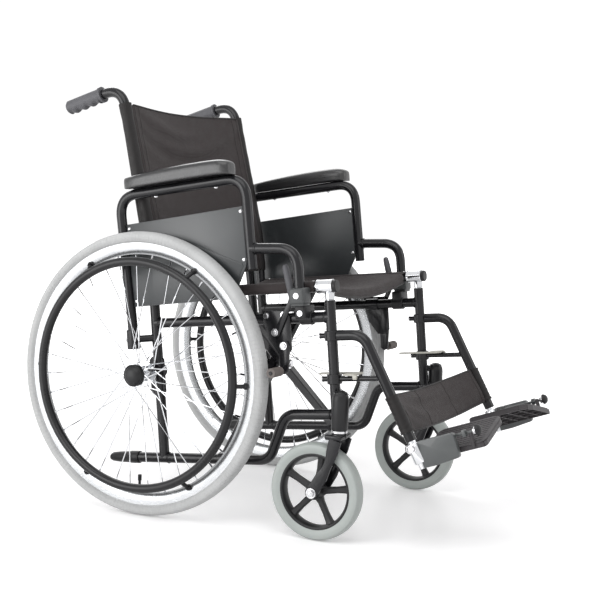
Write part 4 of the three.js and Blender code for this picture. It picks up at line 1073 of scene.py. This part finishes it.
def back():
    """The back: a panel between two sleeves on the canes, hanging a little to the rear."""
    low, high, half = 392, 776, 231
    for side, tag in ((-1, "right"), (1, "left")):
        path = bend([at(side * HALF, 0, low), at(side * HALF, 0, KINK_B),
                     at(side * HALF, cane_a(high), high)], 32, 6)
        sleeve(f"back_sleeve_{tag}", f"{tag}_side", path, "back_sling")
    rows, lines, span = [], 44, 50
    for n in range(lines + 1):
        share = n / lines
        row = []
        for i in range(span + 1):
            x = half * (2 * i / span - 1)
            crown = 1 - (x / half) ** 2
            b = low + 1 + (high - low - 3 - 1.5 * crown * share) * share
            a = cane_a(b) + 9.6 - 8 * crown ** 0.8 + 1.6 * crown * math.sin(share * 7 + x / 60)
            row.append(at(x, a, b))
        rows.append(row)
    cloth = loft("back", rows, closed=False, capped=False)
    wide = span + 1
    held = [r * wide + c for r in range(lines + 1) for c in (0, 1, span - 1, span)]
    hang(cloth, held, 18, -0.002)
    top = edge_points(cloth, range(lines * wide + 1, (lines + 1) * wide - 1))
    bottom = edge_points(cloth, range(1, wide - 1))
    hems = joined("hems", [tube("hem", top, 2.0, 10, 0.4, 1.5), tube("hem", bottom, 2.0, 10, 0.4, 1.5)])
    seams = []
    for c in (3, span - 3, 1, span - 1):
        line = edge_points(cloth, range(c, (lines + 1) * wide, wide))
        for way in (-1, 1):
            seams.append(tube("seam", [p - FORWARD * way * 0.0014 for p in line], 0.75, 8, 0.2))
    thicken(cloth, 2.4)
    parts = [(cloth, "back_cloth", "nylon"), (hems, "back_hems", "binding"),
             (joined("seams", seams), "back_seams", "thread")]
    for piece, name, look in parts:
        fit(piece, name, "right_side", look, "nylon", smooth=60)
        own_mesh(piece)
    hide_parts("back_sling")


def calf_strap():
    """The calf strap: a padded band between sleeves on the two leg rests, bound and quilted."""
    for side, tag in ((-1, "right"), (1, "left")):
        sleeve(f"calf_sleeve_{tag}", f"leg_rest_{tag}", [leg_point(side * HALF, 0.92),
                                                            leg_point(side * HALF, 0.58)],
               "calf_strap", 13.0)
    down = (at(0, *END) - at(0, *KNEE)).normalized()
    front = X.cross(down).normalized()
    if front.y > 0:
        front = -front
    rows, lines, span, half = [], 14, 60, 228
    for n in range(lines + 1):
        share = n / lines
        row = []
        for i in range(span + 1):
            x = half * (2 * i / span - 1)
            crown = 1 - (x / half) ** 2
            seam = 1 - math.exp(-(((x - 75) / 6) ** 2)) - math.exp(-(((x + 75) / 6) ** 2))
            tuck = 4 * crown * (share - 0.5)
            p = leg_point(x, 0.92 - 0.34 * share) - down * tuck / 1000
            belly = 1.8 * seam * math.sin(math.pi * share) - 6 * crown
            row.append(p + front * (belly + 1.2 * math.sin(x / 17 + share * 5)) / 1000)
        rows.append(row)
    cloth = loft("strap", rows, closed=False, capped=False)
    wide = span + 1
    held = [r * wide + c for r in range(lines + 1) for c in (0, 1, span - 1, span)]
    hang(cloth, held, 14, -0.003)
    top = edge_points(cloth, range(lines * wide + 1, (lines + 1) * wide - 1))
    bottom = edge_points(cloth, range(1, wide - 1))
    hems = joined("hems", [tube("hem", top, 2.4, 10, 0.4, 1.3), tube("hem", bottom, 2.4, 10, 0.4, 1.3)])
    seams = []
    for c in (20, 40, 2, span - 2):
        line = edge_points(cloth, range(c, (lines + 1) * wide, wide))
        for way in (-1, 1):
            seams.append(tube("seam", [p + front * way * 0.0021 for p in line], 0.8, 8, 0.2))
    thicken(cloth, 4)
    for piece, name, look in ((cloth, "calf_cloth", "nylon"), (hems, "calf_hems", "binding"),
                              (joined("seams", seams), "calf_seams", "thread")):
        fit(piece, name, "leg_rest_right", look, "nylon", smooth=60)
        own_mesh(piece)
    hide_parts("calf_strap")


# ---- camera, floor and light -----------------------------------------------------------------
def camera():
    turn, lift, roll = -1.09865, 0.08358, 0.0319
    back_way = Vector((math.sin(turn) * math.cos(lift), -math.cos(turn) * math.cos(lift), math.sin(lift)))
    right = (-back_way).cross(Vector((0, 0, 1))).normalized()
    up = right.cross(-back_way)
    across = right * math.cos(roll) + up * math.sin(roll)
    above = up * math.cos(roll) - right * math.sin(roll)
    bpy.ops.object.camera_add(location=flat(-2498.9, -1498.1, 695.7))
    view = bpy.context.object
    view.rotation_euler = Matrix((across, above, back_way)).transposed().to_euler()
    view.data.lens = 74.64
    view.data.sensor_width = 36
    view.data.clip_end = 60
    scene.camera = view


def direct_rays(tree):
    """One for rays from the camera, from a shiny surface or through a clear one, else nought."""
    path = tree.nodes.new("ShaderNodeLightPath")
    shiny = math_node(tree, "MAXIMUM", path.outputs["Is Camera Ray"], path.outputs["Is Glossy Ray"])
    return math_node(tree, "MAXIMUM", shiny, path.outputs["Is Transmission Ray"])


def pale_stage():
    """A wide pale floor that runs up into the sky's own white."""
    bpy.ops.object.select_all(action="DESELECT")
    bpy.ops.mesh.primitive_circle_add(vertices=96, radius=14, fill_type="NGON", location=(0, 0, -0.0006))
    floor = bpy.context.object
    floor.name = "floor"
    bpy.ops.object.transform_apply(location=True)
    look = bpy.data.materials.new("Pale floor")
    look.use_nodes = True
    shader = look.node_tree.nodes["Principled BSDF"]
    shader.inputs["Base Color"].default_value = (0.93, 0.925, 0.93, 1)
    shader.inputs["Roughness"].default_value = 0.35
    shader.inputs["Specular IOR Level"].default_value = 0.2
    shader.inputs["Emission Color"].default_value = (1, 1, 1, 1)
    place = look.node_tree.nodes.new("ShaderNodeTexCoord")
    reach = look.node_tree.nodes.new("ShaderNodeVectorMath")
    reach.operation = "LENGTH"
    look.node_tree.links.new(place.outputs["Object"], reach.inputs[0])
    far = look.node_tree.nodes.new("ShaderNodeMapRange")
    far.inputs["From Min"].default_value, far.inputs["From Max"].default_value = 0.9, 3.2
    far.inputs["To Min"].default_value, far.inputs["To Max"].default_value = 0.22, 1.1
    look.node_tree.links.new(reach.outputs["Value"], far.inputs["Value"])
    glow = math_node(look.node_tree, "MULTIPLY", direct_rays(look.node_tree), far.outputs[0])
    look.node_tree.links.new(glow, shader.inputs["Emission Strength"])
    floor.data.materials.append(look)
    world = bpy.data.worlds.new("Pale studio")
    scene.world = world
    world.use_nodes = True
    tree = world.node_tree
    sky = tree.nodes["Background"]
    sky.inputs["Color"].default_value = (1, 0.997, 1, 1)
    seen = direct_rays(tree)
    level = math_node(tree, "MULTIPLY_ADD", seen, 0.45, 0.6)
    tree.links.new(level, sky.inputs["Strength"])


def softbox(name, place, target, size, power):
    bpy.ops.object.light_add(type="AREA", location=place)
    lamp = bpy.context.object
    lamp.name = name
    lamp.data.shape = "RECTANGLE"
    lamp.data.size, lamp.data.size_y = size
    lamp.data.energy = power
    lamp.rotation_euler = (Vector(target) - Vector(place)).to_track_quat("-Z", "Y").to_euler()


# ---- the whole chair --------------------------------------------------------------------------
camera()
pale_stage()
softbox("key", (-1.6, -0.4, 3.0), (0, 0, 0.4), (2.6, 2.2), 40)
softbox("fill", (0.8, -3.0, 1.8), (0, 0, 0.5), (1.8, 1.8), 18)
softbox("side", (-2.6, 1.5, 0.9), (0, 0, 0.5), (2.0, 1.6), 42)
softbox("rim", (1.8, 2.0, 2.4), (0, 0, 0.5), (1.6, 1.6), 22)

for side, tag in ((-1, "right"), (1, "left")):
    hub = flat(side * 298, 0, 305)
    out = X * side
    rear_tyre(tag, hub, out)
    rear_rim(tag, hub, out)
    hub_and_spokes(tag, hub, out)
    handrim(tag, hub, out)
    caster(side, tag)
    side_frame(side, tag)
    cross_brace(side, tag)
    seat_guide(side, tag)
    armrest(side, tag)
    arm_sockets(side, tag)
    brake(side, tag)
    leg_rest(side, tag)
pivot()
seat()
back()
calf_strap()
